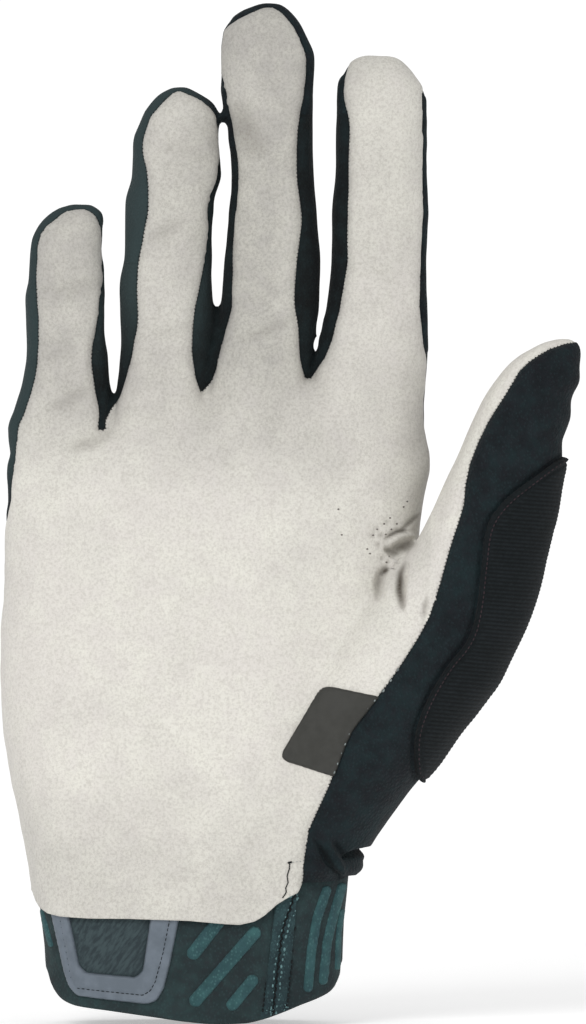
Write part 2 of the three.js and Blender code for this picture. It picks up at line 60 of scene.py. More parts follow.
# Hand form: sections of the palm. left and right are shares of width, front and back of depth.
palm = {
    "width": 93.5,
    "height": 112.2,
    "depth": 34.0,
    "hem": 24.4,
    "steps": 70,
    "outline": [  # up, left, right
        (-0.04, -0.375, 0.372), (0.016, -0.378, 0.373), (0.098, -0.388, 0.384), (0.18, -0.407, 0.407),
        (0.263, -0.43, 0.435), (0.373, -0.447, 0.468), (0.51, -0.45, 0.496), (0.647, -0.442, 0.52),
        (0.757, -0.44, 0.535), (0.8, -0.437, 0.545), (0.84, -0.433, 0.5575), (0.875, -0.434, 0.551),
        (0.912, -0.435, 0.537), (0.961, -0.433, 0.53), (0.996, -0.407, 0.518),
    ],
    "thickness": [  # up, front, back, tilt
        (-0.04, 0.63, 0.62, 0), (0.098, 0.62, 0.59, 0), (0.263, 0.6, 0.53, 0), (0.373, 0.58, 0.5, 0),
        (0.51, 0.54, 0.48, 0), (0.757, 0.44, 0.42, 0.03), (0.84, 0.38, 0.38, 0.08),
        (0.912, 0.32, 0.33, 0.15), (0.961, 0.27, 0.28, 0.2), (0.996, 0.15, 0.16, 0.22),
    ],
}

# Sections of the fingers. left, right and the two seams of the pale strip are shares of width.
fingers = {
    "little": {
        "x": -27.9, "root": 121.2, "length": 58.3, "width": 17.6, "depth": 16.0, "tipSeam": 0.45,
        "rows": [
            (0, -0.655, 0.575, -0.665, 0.45), (0.166, -0.72, 0.59, -0.61, 0.42),
            (0.22, -0.66, 0.56, -0.54, 0.44), (0.325, -0.555, 0.54, -0.43, 0.38),
            (0.43, -0.505, 0.525, -0.367, 0.34), (0.536, -0.5, 0.475, -0.357, 0.4),
            (0.64, -0.51, 0.475, -0.375, 0.44), (0.747, -0.45, 0.475, -0.39, 0.47),
            (0.853, -0.445, 0.45, -0.37, 0.46), (0.906, -0.37, 0.46, -0.315, 0.46),
            (0.958, -0.23, 0.46, -0.14, 0.41), (0.985, -0.075, 0.39, -0.02, 0.33),
            (1, 0.075, 0.3, 0.13, 0.24),
        ],
    },
    "ring": {
        "x": -4.6, "root": 123.4, "length": 81.6, "width": 20.24, "depth": 18.0, "tipSeam": 0.45,
        "rows": [
            (0, -0.565, 0.54, -0.72, 0.52), (0.108, -0.65, 0.457, -0.707, 0.48),
            (0.186, -0.595, 0.39, -0.576, 0.337), (0.243, -0.578, 0.4, -0.5, 0.266),
            (0.318, -0.56, 0.44, -0.424, 0.234), (0.394, -0.56, 0.465, -0.38, 0.255),
            (0.469, -0.565, 0.435, -0.39, 0.32), (0.544, -0.52, 0.424, -0.37, 0.38),
            (0.62, -0.51, 0.435, -0.304, 0.41), (0.695, -0.51, 0.457, -0.26, 0.42),
            (0.771, -0.435, 0.54, -0.28, 0.515), (0.846, -0.435, 0.524, -0.337, 0.53),
            (0.92, -0.326, 0.515, -0.26, 0.51), (0.96, -0.217, 0.45, -0.14, 0.42),
            (0.987, -0.1, 0.29, -0.03, 0.24), (1, 0.01, 0.15, 0.05, 0.11),
        ],
    },
    "middle": {
        "x": 16.9, "root": 125.6, "length": 97.7, "width": 20.24, "depth": 18.5, "tipSeam": 0.45,
        "rows": [
            (0, -0.565, 0.565, -0.75, 0.5), (0.133, -0.696, 0.457, -0.717, 0.46),
            (0.164, -0.685, 0.424, -0.636, 0.413), (0.212, -0.64, 0.446, -0.576, 0.348),
            (0.275, -0.565, 0.489, -0.5, 0.33), (0.338, -0.532, 0.533, -0.43, 0.277),
            (0.432, -0.489, 0.554, -0.424, 0.31), (0.527, -0.446, 0.52, -0.4, 0.364),
            (0.622, -0.424, 0.478, -0.36, 0.31), (0.716, -0.462, 0.467, -0.42, 0.32),
            (0.811, -0.53, 0.467, -0.5, 0.397), (0.874, -0.533, 0.489, -0.555, 0.418),
            (0.937, -0.51, 0.38, -0.56, 0.326), (0.968, -0.413, 0.293, -0.4, 0.228),
            (0.99, -0.25, 0.185, -0.18, 0.12), (1, -0.1, 0.1, -0.06, 0.04),
        ],
    },
    "index": {
        "x": 40.9, "root": 127.8, "length": 84.3, "width": 20.24, "depth": 18.0, "tipSeam": -0.6,
        "rows": [
            (0, -0.62, 0.49, -0.79, 0.6), (0.128, -0.75, 0.5, -0.77, 0.555),
            (0.164, -0.74, 0.51, -0.728, 0.555), (0.219, -0.674, 0.533, -0.587, 0.52),
            (0.292, -0.61, 0.52, -0.489, 0.48), (0.366, -0.554, 0.525, -0.424, 0.465),
            (0.475, -0.52, 0.515, -0.359, 0.475), (0.585, -0.52, 0.525, -0.359, 0.498),
            (0.695, -0.478, 0.512, -0.348, 0.492), (0.804, -0.467, 0.512, -0.337, 0.49),
            (0.877, -0.457, 0.505, -0.4, 0.485), (0.914, -0.457, 0.478, -0.413, 0.48),
            (0.95, -0.4, 0.39, -0.37, 0.41), (0.987, -0.315, 0.26, -0.36, 0.4),
            (1, -0.185, 0.13, -0.3, 0.4),
        ],
    },
}
fingerCurl = {"lean": 9.0, "from": 125.6, "length": 97.7}
# What the fingers share. The foot of a finger is sunk into the palm, and round is how far its tip rounds off.
fingerForm = {
    "round": 10.0, "blunt": 0.04, "rootDepth": 1.1, "tipDepth": 0.92,
    "footUps": [-0.3, -0.15], "footShare": 0.7,
    "straight": 0.86, "steps": 44, "tipStart": 0.96, "crowding": 1.6,
}
tipSteps = 16

# Sections of the thumb about a middle line that leans out and forward. front and back are shares of depth.
thumb = {
    "rootX": 29.0, "rootZ": 35.0, "reach": 51.7, "length": 114.6, "forward": 19.0,
    "width": 26.4, "depth": 24.0,
    "straight": 0.9, "steps": 60, "tipStart": 0.95, "crowding": 1.5,
    "rows": [  # up, left, right, seam, front, back
        (0, -0.8, 0.31, -0.175, 0.6, 0.6), (0.031, -0.84, 0.325, -0.21, 0.63, 0.605),
        (0.084, -0.9, 0.37, -0.26, 0.69, 0.62), (0.138, -0.95, 0.44, -0.26, 0.73, 0.61),
        (0.192, -1.0, 0.55, -0.275, 0.76, 0.6), (0.246, -1.0, 0.61, -0.29, 0.76, 0.585),
        (0.3, -0.98, 0.68, -0.225, 0.75, 0.57), (0.353, -0.9, 0.74, -0.15, 0.73, 0.56),
        (0.407, -0.8, 0.745, -0.1, 0.69, 0.54), (0.46, -0.7, 0.74, -0.07, 0.65, 0.52),
        (0.514, -0.6, 0.715, -0.09, 0.615, 0.5), (0.568, -0.5, 0.67, -0.13, 0.58, 0.48),
        (0.622, -0.45, 0.62, -0.17, 0.555, 0.47), (0.676, -0.43, 0.575, -0.2, 0.53, 0.46),
        (0.729, -0.44, 0.5, -0.275, 0.5, 0.45), (0.783, -0.44, 0.434, -0.325, 0.47, 0.44),
        (0.807, -0.44, 0.38, -0.325, 0.455, 0.43), (0.84, -0.44, 0.375, -0.325, 0.435, 0.42),
        (0.86, -0.435, 0.362, -0.31, 0.42, 0.41), (0.881, -0.43, 0.306, -0.29, 0.405, 0.405),
        (0.9, -0.42, 0.296, -0.275, 0.395, 0.39), (0.917, -0.4, 0.306, -0.265, 0.37, 0.37),
        (0.944, -0.36, 0.255, -0.25, 0.33, 0.34), (0.971, -0.275, 0.205, -0.16, 0.26, 0.27),
        (0.99, -0.14, 0.16, -0.05, 0.16, 0.17), (1, -0.03, 0.14, 0.16, 0.07, 0.07),
    ],
}

# Where the cloth is cut and sewn, as x and z seen from the palm
cutting = {
    "palmHem": [(-39.3, 32.5), (-36.4, 30.4), (-35.3, 28.6), (-34.5, 26.7), (-33.5, 25.3), (-31.8, 24.2),
                (-29.0, 23.6), (-22.7, 23.3), (-13.9, 23.3),
                (-0.7, 22.9), (7.0, 22.2), (10.3, 22.0), (13.6, 22.7), (15.8, 24.0), (18.5, 26.4),
                (21.3, 28.1), (22.9, 28.8), (24.2, 31.0)],
    "palmTop": [(56.1, 141.7), (25.7, 141.7), (2.4, 138.6), (-19.8, 130.0), (-39.2, 127.9),
                (-48.6, 126.5), (-48.6, 46.8)],
    "leftSeam": [(107.5, 3.0), (111.5, -1.6), (118.0, -2.6), (124.0, -3.4), (128.0, -5.0)],  # z, y
    "leftSide": -30.0,     # left of this x, the pale panel ends at leftSeam
    "darkHem": [(-56.0, 28.0), (-34.6, 29.2), (32.0, 31.3), (34.2, 32.3), (140.0, 32.5)],
    "palmWrap": 3.0,       # how far the pale panel goes round the hand's sides
    "knuckles": 108.6,
    "webUp": 0.6,          # where the thumb parts from the palm, as a share of its length
    "webAcross": -0.55,    # beyond the thumb's palm side, as a share of its width
    "thumbWrap": 5.0,
    "gussetDepth": 5.0,
    "crotches": [130.0, 138.6, 141.7],
    "gussetBelowCrotch": 8.0,
    "gussetBelowTip": 13.0,
}


# A smooth line through a column of a table, without overshoot
def columnAt(rows, column, at):
    known = np.array([row[0] for row in rows], float)
    values = np.array([row[column] for row in rows], float)
    steps = np.diff(known)
    rates = np.diff(values) / steps
    slopes = np.zeros(len(known))
    slopes[0], slopes[-1] = rates[0], rates[-1]
    product = rates[:-1] * rates[1:]
    total = np.where(np.abs(rates[:-1] + rates[1:]) < 1e-9, 1.0, rates[:-1] + rates[1:])
    slopes[1:-1] = np.where(product > 0, 2 * product / total, 0)
    place = np.clip(np.searchsorted(known, at) - 1, 0, len(known) - 2)
    share = np.clip((np.asarray(at, float) - known[place]) / steps[place], 0, 1)
    cube, square = share ** 3, share ** 2
    return ((2 * cube - 3 * square + 1) * values[place] + (3 * square - 2 * cube) * values[place + 1]
            + (cube - 2 * square + share) * steps[place] * slopes[place]
            + (cube - square) * steps[place] * slopes[place + 1])


def curlAt(z):
    share = np.clip((np.asarray(z, float) - fingerCurl["from"]) / fingerCurl["length"], 0, 1.1)
    return -fingerCurl["lean"] * share ** 2


def thumbX(up, across=0.0):
    return thumb["rootX"] + thumb["reach"] * up + across * thumb["width"]


def thumbZ(up):
    return thumb["rootZ"] + thumb["length"] * up


def thumbUp(z):
    return (z - thumb["rootZ"]) / thumb["length"]


def thumbY(up):
    return -thumb["forward"] * np.clip(up, 0, 2) ** 1.2


def signedPower(value, exponent):
    return math.copysign(abs(value) ** exponent, value)


# Where a point of a section lies: turn is the angle round it, from the thumb's side to the back
def sectionPoint(section, turn, roundness):
    across = signedPower(math.cos(turn), 2 / roundness) * (section["right"] - section["left"]) / 2
    through = signedPower(math.sin(turn), 2 / roundness)
    through *= section["back"] if through > 0 else section["front"]
    middle = (section["left"] + section["right"]) / 2
    return Vector((middle + across, section["y"] + through, section["z"] + across * section["tilt"]))


# The next ring of a loft: the last one is extruded, and each new point keeps its turn
def nextRing(bm, edges, turns):
    made = bmesh.ops.extrude_edge_only(bm, edges=edges)["geom"]
    fresh = [part for part in made if isinstance(part, bmesh.types.BMVert)]
    freshSet = set(fresh)
    newTurns = {}
    for vert in fresh:
        old = next(edge.other_vert(vert) for edge in vert.link_edges
                   if edge.other_vert(vert) not in freshSet)
        newTurns[vert] = turns[old]
    ring = [part for part in made if isinstance(part, bmesh.types.BMEdge)
            and part.verts[0] in freshSet and part.verts[1] in freshSet]
    return ring, newTurns


# The circle that starts a loft: its edges, and the turn of each point
def firstRing(bm, sides, capped=True):
    circle = bmesh.ops.create_circle(bm, cap_ends=capped, segments=sides, radius=1)["verts"]
    turns = {vert: math.atan2(vert.co.y, vert.co.x) for vert in circle}
    return list(dict.fromkeys(edge for vert in circle for edge in vert.link_edges)), turns


# A closed lobe of the hand form, lofted through its sections
def loftLobe(bm, sections, sides, roundness):
    edges, turns = firstRing(bm, sides)
    for number, section in enumerate(sections):
        if number:
            edges, turns = nextRing(bm, edges, turns)
        for vert, turn in turns.items():
            vert.co = sectionPoint(section, turn, roundness)
    bmesh.ops.contextual_create(bm, geom=edges)


def palmSections():
    ups = np.linspace(palm["outline"][0][0], palm["outline"][-1][0], palm["steps"])
    columns = [columnAt(palm["outline"], i, ups) for i in (1, 2)]
    columns += [columnAt(palm["thickness"], i, ups) for i in (1, 2, 3)]
    return [{"left": left * palm["width"], "right": right * palm["width"], "front": front * palm["depth"],
             "back": back * palm["depth"], "tilt": tilt, "y": 0.0, "z": palm["hem"] + up * palm["height"]}
            for up, left, right, front, back, tilt in zip(ups, *columns)]


# Where a lobe has its sections, as shares of its length. They are closer together at its tip.
def sectionUps(form):
    tip = (1 - form["straight"]) * np.linspace(form["tipStart"], 0, tipSteps) ** form["crowding"]
    return np.concatenate([np.linspace(0, form["straight"], form["steps"]), 1 - tip])


def fingerSections(finger):
    length = finger["length"]
    sections = []
    for up in np.concatenate([fingerForm["footUps"], sectionUps(fingerForm)]):
        below = max(up / fingerForm["footUps"][0], 0)
        share = 1 - (1 - fingerForm["footShare"]) * below
        near = length * (1 - up) + fingerForm["blunt"] * fingerForm["round"]
        rounding = math.sqrt(1 - max(1 - near / fingerForm["round"], 0) ** 2)
        taper = fingerForm["rootDepth"] + (fingerForm["tipDepth"] - fingerForm["rootDepth"]) * up
        depth = finger["depth"] / 2 * taper * rounding * share
        z = finger["root"] + up * length
        left, right = (float(columnAt(finger["rows"], i, max(up, 0))) for i in (1, 2))
        sections.append({"left": finger["x"] + left * finger["width"] * share,
                         "right": finger["x"] + right * finger["width"] * share,
                         "front": depth, "back": depth, "tilt": 0.0, "y": float(curlAt(z)), "z": z})
    return sections


def thumbSections():
    ups = sectionUps(thumb)
    left, right, front, back = (columnAt(thumb["rows"], i, ups) for i in (1, 2, 4, 5))
    return [{"left": thumbX(u, l), "right": thumbX(u, r), "front": f * thumb["depth"],
             "back": b * thumb["depth"], "tilt": 0.0, "y": float(thumbY(u)), "z": thumbZ(u)}
            for u, l, r, f, b in zip(ups, left, right, front, back)]


# A tube along a line, from a circle that is extruded from point to point
def tubeAlong(bm, points, radius, sides):
    edges, turns = firstRing(bm, sides)
    for number, point in enumerate(points):
        if number:
            edges, turns = nextRing(bm, edges, turns)
        ahead = Vector(points[min(number + 1, len(points) - 1)]) - Vector(points[max(number - 1, 0)])
        turn = ahead.to_track_quat("Z", "Y")
        for vert, angle in turns.items():
            vert.co = Vector(point) + turn @ Vector((math.cos(angle) * radius, math.sin(angle) * radius, 0))
    bmesh.ops.contextual_create(bm, geom=edges)


# The rolled hem that stands out beside the wrist, under the thumb. Its ends sink into the cloth.
hemRoll = {"height": 34.2, "radius": 2.0, "sides": 12, "from": -62, "to": 58, "steps": 24,
           "sinkFrom": 38, "sinkOver": 24, "sinkIn": 2.2, "sinkBack": 2.6}


def hemRollPoints():
    up = (hemRoll["height"] - palm["hem"]) / palm["height"]
    left, right = (float(columnAt(palm["outline"], i, up)) * palm["width"] for i in (1, 2))
    front, back = (float(columnAt(palm["thickness"], i, up)) * palm["depth"] for i in (1, 2))
    section = {"left": left, "right": right, "front": front, "back": back, "tilt": 0.0, "y": 0.0,
               "z": hemRoll["height"]}
    points = []
    for angle in np.linspace(hemRoll["from"], hemRoll["to"], hemRoll["steps"]):
        point = sectionPoint(section, math.radians(angle), glove["palmRoundness"])
        ending = max(abs(angle) - hemRoll["sinkFrom"], 0) / hemRoll["sinkOver"]
        point.x -= hemRoll["sinkIn"] * ending ** 2 * math.cos(math.radians(angle))
        point.y -= hemRoll["sinkBack"] * ending ** 2 * math.sin(math.radians(angle))
        points.append(point)
    return points


def coordinates(bm):
    return np.array([vert.co[:] for vert in bm.verts], float).reshape(-1, 3)


def normals(bm):
    return np.array([vert.normal[:] for vert in bm.verts], float).reshape(-1, 3)


def moveTo(bm, places):
    for vert, place in zip(bm.verts, places):
        vert.co = place
    bm.normal_update()


# Evens a mesh out: each point moves towards the middle of its neighbours, by its own weight
def relax(bm, weight, rounds):
    bm.verts.index_update()
    places = coordinates(bm)
    ends = np.array([(edge.verts[0].index, edge.verts[1].index) for edge in bm.edges])
    count = np.bincount(ends.ravel(), minlength=len(places)).astype(float)
    weight = np.broadcast_to(weight, len(places))[:, None]
    for _ in range(rounds):
        total = np.zeros_like(places)
        for axis in range(3):
            total[:, axis] = (np.bincount(ends[:, 0], places[ends[:, 1], axis], len(places))
                              + np.bincount(ends[:, 1], places[ends[:, 0], axis], len(places)))
        places += weight * (total / np.maximum(count, 1)[:, None] - places)
    moveTo(bm, places)


# Noise that is the same each run, for each point, with its swells a given size apart
def swell(places, size, offset=0.0):
    return np.array([noise.noise(Vector((p[0] / size + offset, p[1] / size, p[2] / size)))
                     for p in places])


def smoothStep(low, high, value):
    share = np.clip((value - low) / (high - low), 0, 1)
    return share * share * (3 - 2 * share)


# Distance in the plane of the palm from an outline, below zero inside it
def outlineDistance(places, corners):
    x, z = places[:, 0], places[:, 2]
    nearest = np.full(len(places), 1e18)
    inside = np.zeros(len(places), bool)
    for (ax, az), (bx, bz) in zip(corners, corners[1:] + corners[:1]):
        dx, dz = bx - ax, bz - az
        along = np.clip(((x - ax) * dx + (z - az) * dz) / max(dx * dx + dz * dz, 1e-12), 0, 1)
        nearest = np.minimum(nearest, (x - ax - along * dx) ** 2 + (z - az - along * dz) ** 2)
        if az != bz:
            crosses = (az > z) != (bz > z)
            inside ^= crosses & (x < dx * (z - az) / dz + ax)
    return np.sqrt(nearest) * np.where(inside, -1, 1)


# Distance in the plane of the palm from an open line
def lineDistance(places, points):
    x, z = places[:, 0], places[:, 2]
    nearest = np.full(len(places), 1e18)
    for (ax, az), (bx, bz) in zip(points, points[1:]):
        dx, dz = bx - ax, bz - az
        along = np.clip(((x - ax) * dx + (z - az) * dz) / (dx * dx + dz * dz), 0, 1)
        nearest = np.minimum(nearest, (x - ax - along * dx) ** 2 + (z - az - along * dz) ** 2)
    return np.sqrt(nearest)


# The same outline with its corners rounded
def rounded(corners, radius, steps=5):
    points = []
    for i, corner in enumerate(corners):
        here = Vector(corner)
        before = (Vector(corners[i - 1]) - here).normalized() * radius
        after = (Vector(corners[(i + 1) % len(corners)]) - here).normalized() * radius
        for share in np.linspace(0, 1, steps):
            points.append(tuple(here + before * (1 - share) ** 2 + after * share ** 2))
    return points


# Splits the faces of a mesh along the line where a field passes zero. Points beside it move onto it.
def cutAlong(bm, field, near=0.14, among=None):
    bm.verts.index_update()
    places = coordinates(bm)
    value = field(places)
    allowed = np.ones(len(places), bool)
    if among is not None:
        allowed[:] = False
        for face in bm.faces:
            if face.material_index in among:
                for vert in face.verts:
                    allowed[vert.index] = True
    bm.verts.ensure_lookup_table()
    beside = np.nonzero((np.abs(value) < near) & allowed)[0]
    if len(beside):
        step, leastSlope = 0.02, 0.2
        slope = np.stack([(field(places[beside] + axis * step) - value[beside]) / step
                          for axis in np.eye(3)], 1)
        size = np.maximum((slope ** 2).sum(1), leastSlope)[:, None]
        moved = places[beside] - slope * value[beside][:, None] / size
        for i, place in zip(beside, moved):
            bm.verts[i].co = place
        value[beside] = 0
    line = {bm.verts[i] for i in beside}
    ends = np.array([(edge.verts[0].index, edge.verts[1].index) for edge in bm.edges])
    low, high = value[ends[:, 0]], value[ends[:, 1]]
    crossing = np.nonzero((low * high < 0) & allowed[ends[:, 0]] & allowed[ends[:, 1]])[0]
    bm.edges.ensure_lookup_table()
    chosen = [(bm.edges[i], low[i] / (low[i] - high[i])) for i in crossing]
    for edge, share in chosen:
        line.add(bmesh.utils.edge_split(edge, edge.verts[0], share)[1])
    bmesh.ops.connect_verts(bm, verts=list(line))
    bm.verts.index_update()
    bm.normal_update()


def centres(bm):
    return np.array([face.calc_center_median()[:] for face in bm.faces], float).reshape(-1, 3)


# Removes the small loose islands that a cut can leave
def dropCrumbs(bm, smallest=60):
    left = set(bm.faces)
    crumbs = []
    while left:
        island, front = set(), [left.pop()]
        while front:
            face = front.pop()
            island.add(face)
            for edge in face.edges:
                for other in edge.link_faces:
                    if other in left:
                        left.discard(other)
                        front.append(other)
        if len(island) < smallest:
            crumbs += list(island)
    bmesh.ops.delete(bm, geom=crumbs, context="FACES")


# A copy of the faces that a list of flags keeps
def kept(bm, flags):
    piece = bm.copy()
    doomed = [face for face, flag in zip(piece.faces, flags) if not flag]
    bmesh.ops.delete(piece, geom=doomed, context="FACES")
    dropCrumbs(piece)
    piece.normal_update()
    return piece


# Makes the object: scaled to metres, smooth, on the one body, with its finish and the nodes it stands for
def finishPiece(bm, name, material, stands=(), wall=0.0):
    mesh = bpy.data.meshes.new(name)
    bmesh.ops.scale(bm, vec=(metresInMillimetre,) * 3, verts=bm.verts)
    for face in bm.faces:
        face.smooth = True
        face.material_index = 0
    bm.to_mesh(mesh)
    bm.free()
    mesh.materials.append(material)
    piece = bpy.data.objects.new(name, mesh)
    bpy.context.scene.collection.objects.link(piece)
    if wall:
        thick = piece.modifiers.new("wall", "SOLIDIFY")
        thick.thickness = wall * metresInMillimetre
        thick.offset = -1
    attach(piece, "root")
    if stands:
        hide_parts(*stands)
    print("piece:", name, len(mesh.polygons), "faces")
    return piece


def linear(red, green, blue):
    parts = [value / 255 for value in (red, green, blue)]
    return tuple(v / 12.92 if v <= 0.04045 else ((v + 0.055) / 1.055) ** 2.4 for v in parts) + (1.0,)


def addNode(tree, kind, settings=None, inputs=None):
    node = tree.nodes.new(kind)
    for key, value in (settings or {}).items():
        setattr(node, key, value)
    for key, value in (inputs or {}).items():
        if isinstance(value, bpy.types.NodeSocket):
            tree.links.new(value, node.inputs[key])
        else:
            node.inputs[key].default_value = value
    return node


def newGroup(name, inputs, outputs):
    tree = bpy.data.node_groups.new(name, "ShaderNodeTree")
    for label, kind, value in inputs:
        socket = tree.interface.new_socket(label, in_out="INPUT", socket_type=kind)
        if value is not None:
            socket.default_value = value
    for label, kind in outputs:
        tree.interface.new_socket(label, in_out="OUTPUT", socket_type=kind)
    return tree, addNode(tree, "NodeGroupInput").outputs, addNode(tree, "NodeGroupOutput").inputs


def mathNode(tree, operation, first, second=0.5, third=0.5):
    inputs = {0: first, 1: second, 2: third}
    return addNode(tree, "ShaderNodeMath", {"operation": operation}, inputs).outputs[0]


def noiseNode(tree, vector, scale, detail=2.0, rough=0.55):
    return addNode(tree, "ShaderNodeTexNoise", None,
                   {"Vector": vector, "Scale": scale, "Detail": detail, "Roughness": rough}).outputs[0]


def rampNode(tree, value, low, high):
    return addNode(tree, "ShaderNodeMapRange", {"interpolation_type": "SMOOTHSTEP"},
                   {"Value": value, "From Min": low, "From Max": high}).outputs[0]


def mixNode(tree, share, first, second, blend="MIX"):
    return addNode(tree, "ShaderNodeMix", {"data_type": "RGBA", "blend_type": blend},
                   {0: share, 6: first, 7: second}).outputs[2]


# Group: broad and fine changes of a dyed cloth's colour. Sizes are in metres.
def makeToneGroup():
    tree, given, out = newGroup("clothTone", [
        ("Vector", "NodeSocketVector", None), ("Light", "NodeSocketColor", (1, 1, 1, 1)),
        ("Dark", "NodeSocketColor", (0, 0, 0, 1)), ("Fleck", "NodeSocketColor", (0, 0, 0, 1)),
        ("Patch Size", "NodeSocketFloat", 0.02), ("Grain Size", "NodeSocketFloat", 0.001),
        ("Fleck Share", "NodeSocketFloat", 0.3)], [("Color", "NodeSocketColor")])
    patch = noiseNode(tree, given["Vector"], mathNode(tree, "DIVIDE", 1.0, given["Patch Size"]), 3.0)
    middle = noiseNode(tree, given["Vector"], mathNode(tree, "DIVIDE", 5.0, given["Patch Size"]), 2.0)
    grain = noiseNode(tree, given["Vector"], mathNode(tree, "DIVIDE", 1.0, given["Grain Size"]), 2.0, 0.7)
    broad = mathNode(tree, "MULTIPLY_ADD", middle, 0.45, mathNode(tree, "MULTIPLY", patch, 0.55))
    mixed = mixNode(tree, rampNode(tree, broad, 0.36, 0.64), given["Light"], given["Dark"])
    fine = noiseNode(tree, given["Vector"], mathNode(tree, "DIVIDE", 2.6, given["Grain Size"]), 2.0, 0.7)
    both = mathNode(tree, "MULTIPLY_ADD", fine, 0.4, mathNode(tree, "MULTIPLY", grain, 0.6))
    spots = mathNode(tree, "MULTIPLY", rampNode(tree, both, 0.4, 0.66), given["Fleck Share"])
    tree.links.new(mixNode(tree, spots, mixed, given["Fleck"]), out["Color"])
    return tree


# Group: the small cells of a mesh knit, as a height and as the light tops of the cells
def makeKnitGroup():
    tree, given, out = newGroup("knitCells", [
        ("Vector", "NodeSocketVector", None), ("Pitch", "NodeSocketFloat", 0.001),
        ("Unevenness", "NodeSocketFloat", 0.6)],
        [("Height", "NodeSocketFloat"), ("Tops", "NodeSocketFloat")])
    turned = addNode(tree, "ShaderNodeMapping", None, {"Vector": given["Vector"], "Scale": (1, 1, 0.8)})
    cell = addNode(tree, "ShaderNodeTexVoronoi", {"feature": "F1"},
                   {"Vector": turned.outputs[0], "Scale": mathNode(tree, "DIVIDE", 1.0, given["Pitch"]),
                    "Randomness": given["Unevenness"]}).outputs["Distance"]
    fuzz = noiseNode(tree, given["Vector"], mathNode(tree, "DIVIDE", 3.0, given["Pitch"]), 2.0)
    dome = mathNode(tree, "SUBTRACT", 1.0, cell)
    tree.links.new(mathNode(tree, "MULTIPLY_ADD", fuzz, 0.35, dome), out["Height"])
    tree.links.new(rampNode(tree, cell, 0.42, 0.12), out["Tops"])
    return tree


# Group: short fibres that lie along the cloth, as a height
def makeFibreGroup():
    tree, given, out = newGroup("clothFibre", [
        ("Vector", "NodeSocketVector", None), ("Size", "NodeSocketFloat", 0.0004),
        ("Stretch", "NodeSocketVector", (1.0, 1.0, 0.4))], [("Height", "NodeSocketFloat")])
    laid = addNode(tree, "ShaderNodeVectorMath", {"operation": "MULTIPLY"},
                   {0: given["Vector"], 1: given["Stretch"]}).outputs[0]
    strands = noiseNode(tree, laid, mathNode(tree, "DIVIDE", 1.0, given["Size"]), 3.0, 0.65)
    nap = noiseNode(tree, given["Vector"], mathNode(tree, "DIVIDE", 0.3, given["Size"]), 2.0)
    tree.links.new(mathNode(tree, "MULTIPLY_ADD", nap, 0.8, strands), out["Height"])
    return tree


groups = {"tone": makeToneGroup(), "knit": makeKnitGroup(), "fibre": makeFibreGroup()}


def placeGroup(tree, name, inputs):
    return addNode(tree, "ShaderNodeGroup", {"node_tree": groups[name]}, inputs).outputs


# A material with its shader, and the object's own coordinates
def newMaterial(name, roughness, sheen=0.0):
    material = bpy.data.materials.new(name)
    material.use_nodes = True
    tree = material.node_tree
    shader = tree.nodes["Principled BSDF"]
    shader.inputs["Roughness"].default_value = roughness
    shader.inputs["Specular IOR Level"].default_value = 0.2
    shader.inputs["Sheen Weight"].default_value = sheen
    shader.inputs["Sheen Roughness"].default_value = 0.6
    vector = addNode(tree, "ShaderNodeTexCoord").outputs["Object"]
    return material, tree, shader, vector


# The value of a vertex layer
def layerNode(tree, name):
    return addNode(tree, "ShaderNodeAttribute", {"attribute_name": name}).outputs["Fac"]


# The dyed colour of a finish, with the sizes of its patches and grain in metres
def toneNode(tree, vector, light, dark, fleck, patch, grain, share):
    return placeGroup(tree, "tone", {
        "Vector": vector, "Light": linear(*light), "Dark": linear(*dark), "Fleck": linear(*fleck),
        "Patch Size": patch, "Grain Size": grain, "Fleck Share": share})["Color"]


def bumpNode(tree, height, strength, distance, after=None):
    inputs = {"Height": height, "Strength": strength, "Distance": distance}
    if after is not None:
        inputs["Normal"] = after
    return addNode(tree, "ShaderNodeBump", None, inputs).outputs[0]


# Paints shade into a colour where the vertex layer called shade says so: the painted shade of creases and
# puckers
def shadeNode(tree, colour, dark):
    return mixNode(tree, layerNode(tree, "shade"), colour, linear(*dark))


# Pale suede, and a greyer tone that the tone layer mixes in, most on the fingers: two tones, flecks, size of
# the patches and share of flecks
suede = {
    "pale": {"light": (224, 222, 213), "dark": (218, 214, 208), "fleck": (188, 184, 176), "patch": 0.024,
             "share": 0.62},
    "grey": {"light": (190, 188, 180), "dark": (178, 175, 170), "fleck": (150, 147, 141), "patch": 0.018,
             "share": 0.66},
    # fold is the colour of the painted shade in the suede's creases
    "grain": 0.00065, "fold": (74, 66, 56), "fibre": 0.00035, "roughness": 0.95, "sheen": 0.12,
}


def makeSuede():
    material, tree, shader, vector = newMaterial("suede", suede["roughness"], suede["sheen"])
    pale, grey = (toneNode(tree, vector, grain=suede["grain"], **suede[name]) for name in ("pale", "grey"))
    colour = mixNode(tree, layerNode(tree, "tone"), pale, grey)
    tree.links.new(shadeNode(tree, colour, suede["fold"]), shader.inputs["Base Color"])
    fibre = placeGroup(tree, "fibre", {"Vector": vector, "Size": suede["fibre"]})["Height"]
    lumps = noiseNode(tree, vector, 420.0, 3.0)
    tree.links.new(bumpNode(tree, fibre, 0.5, 0.00012, bumpNode(tree, lumps, 0.35, 0.0004)),
                   shader.inputs["Normal"])
    return material


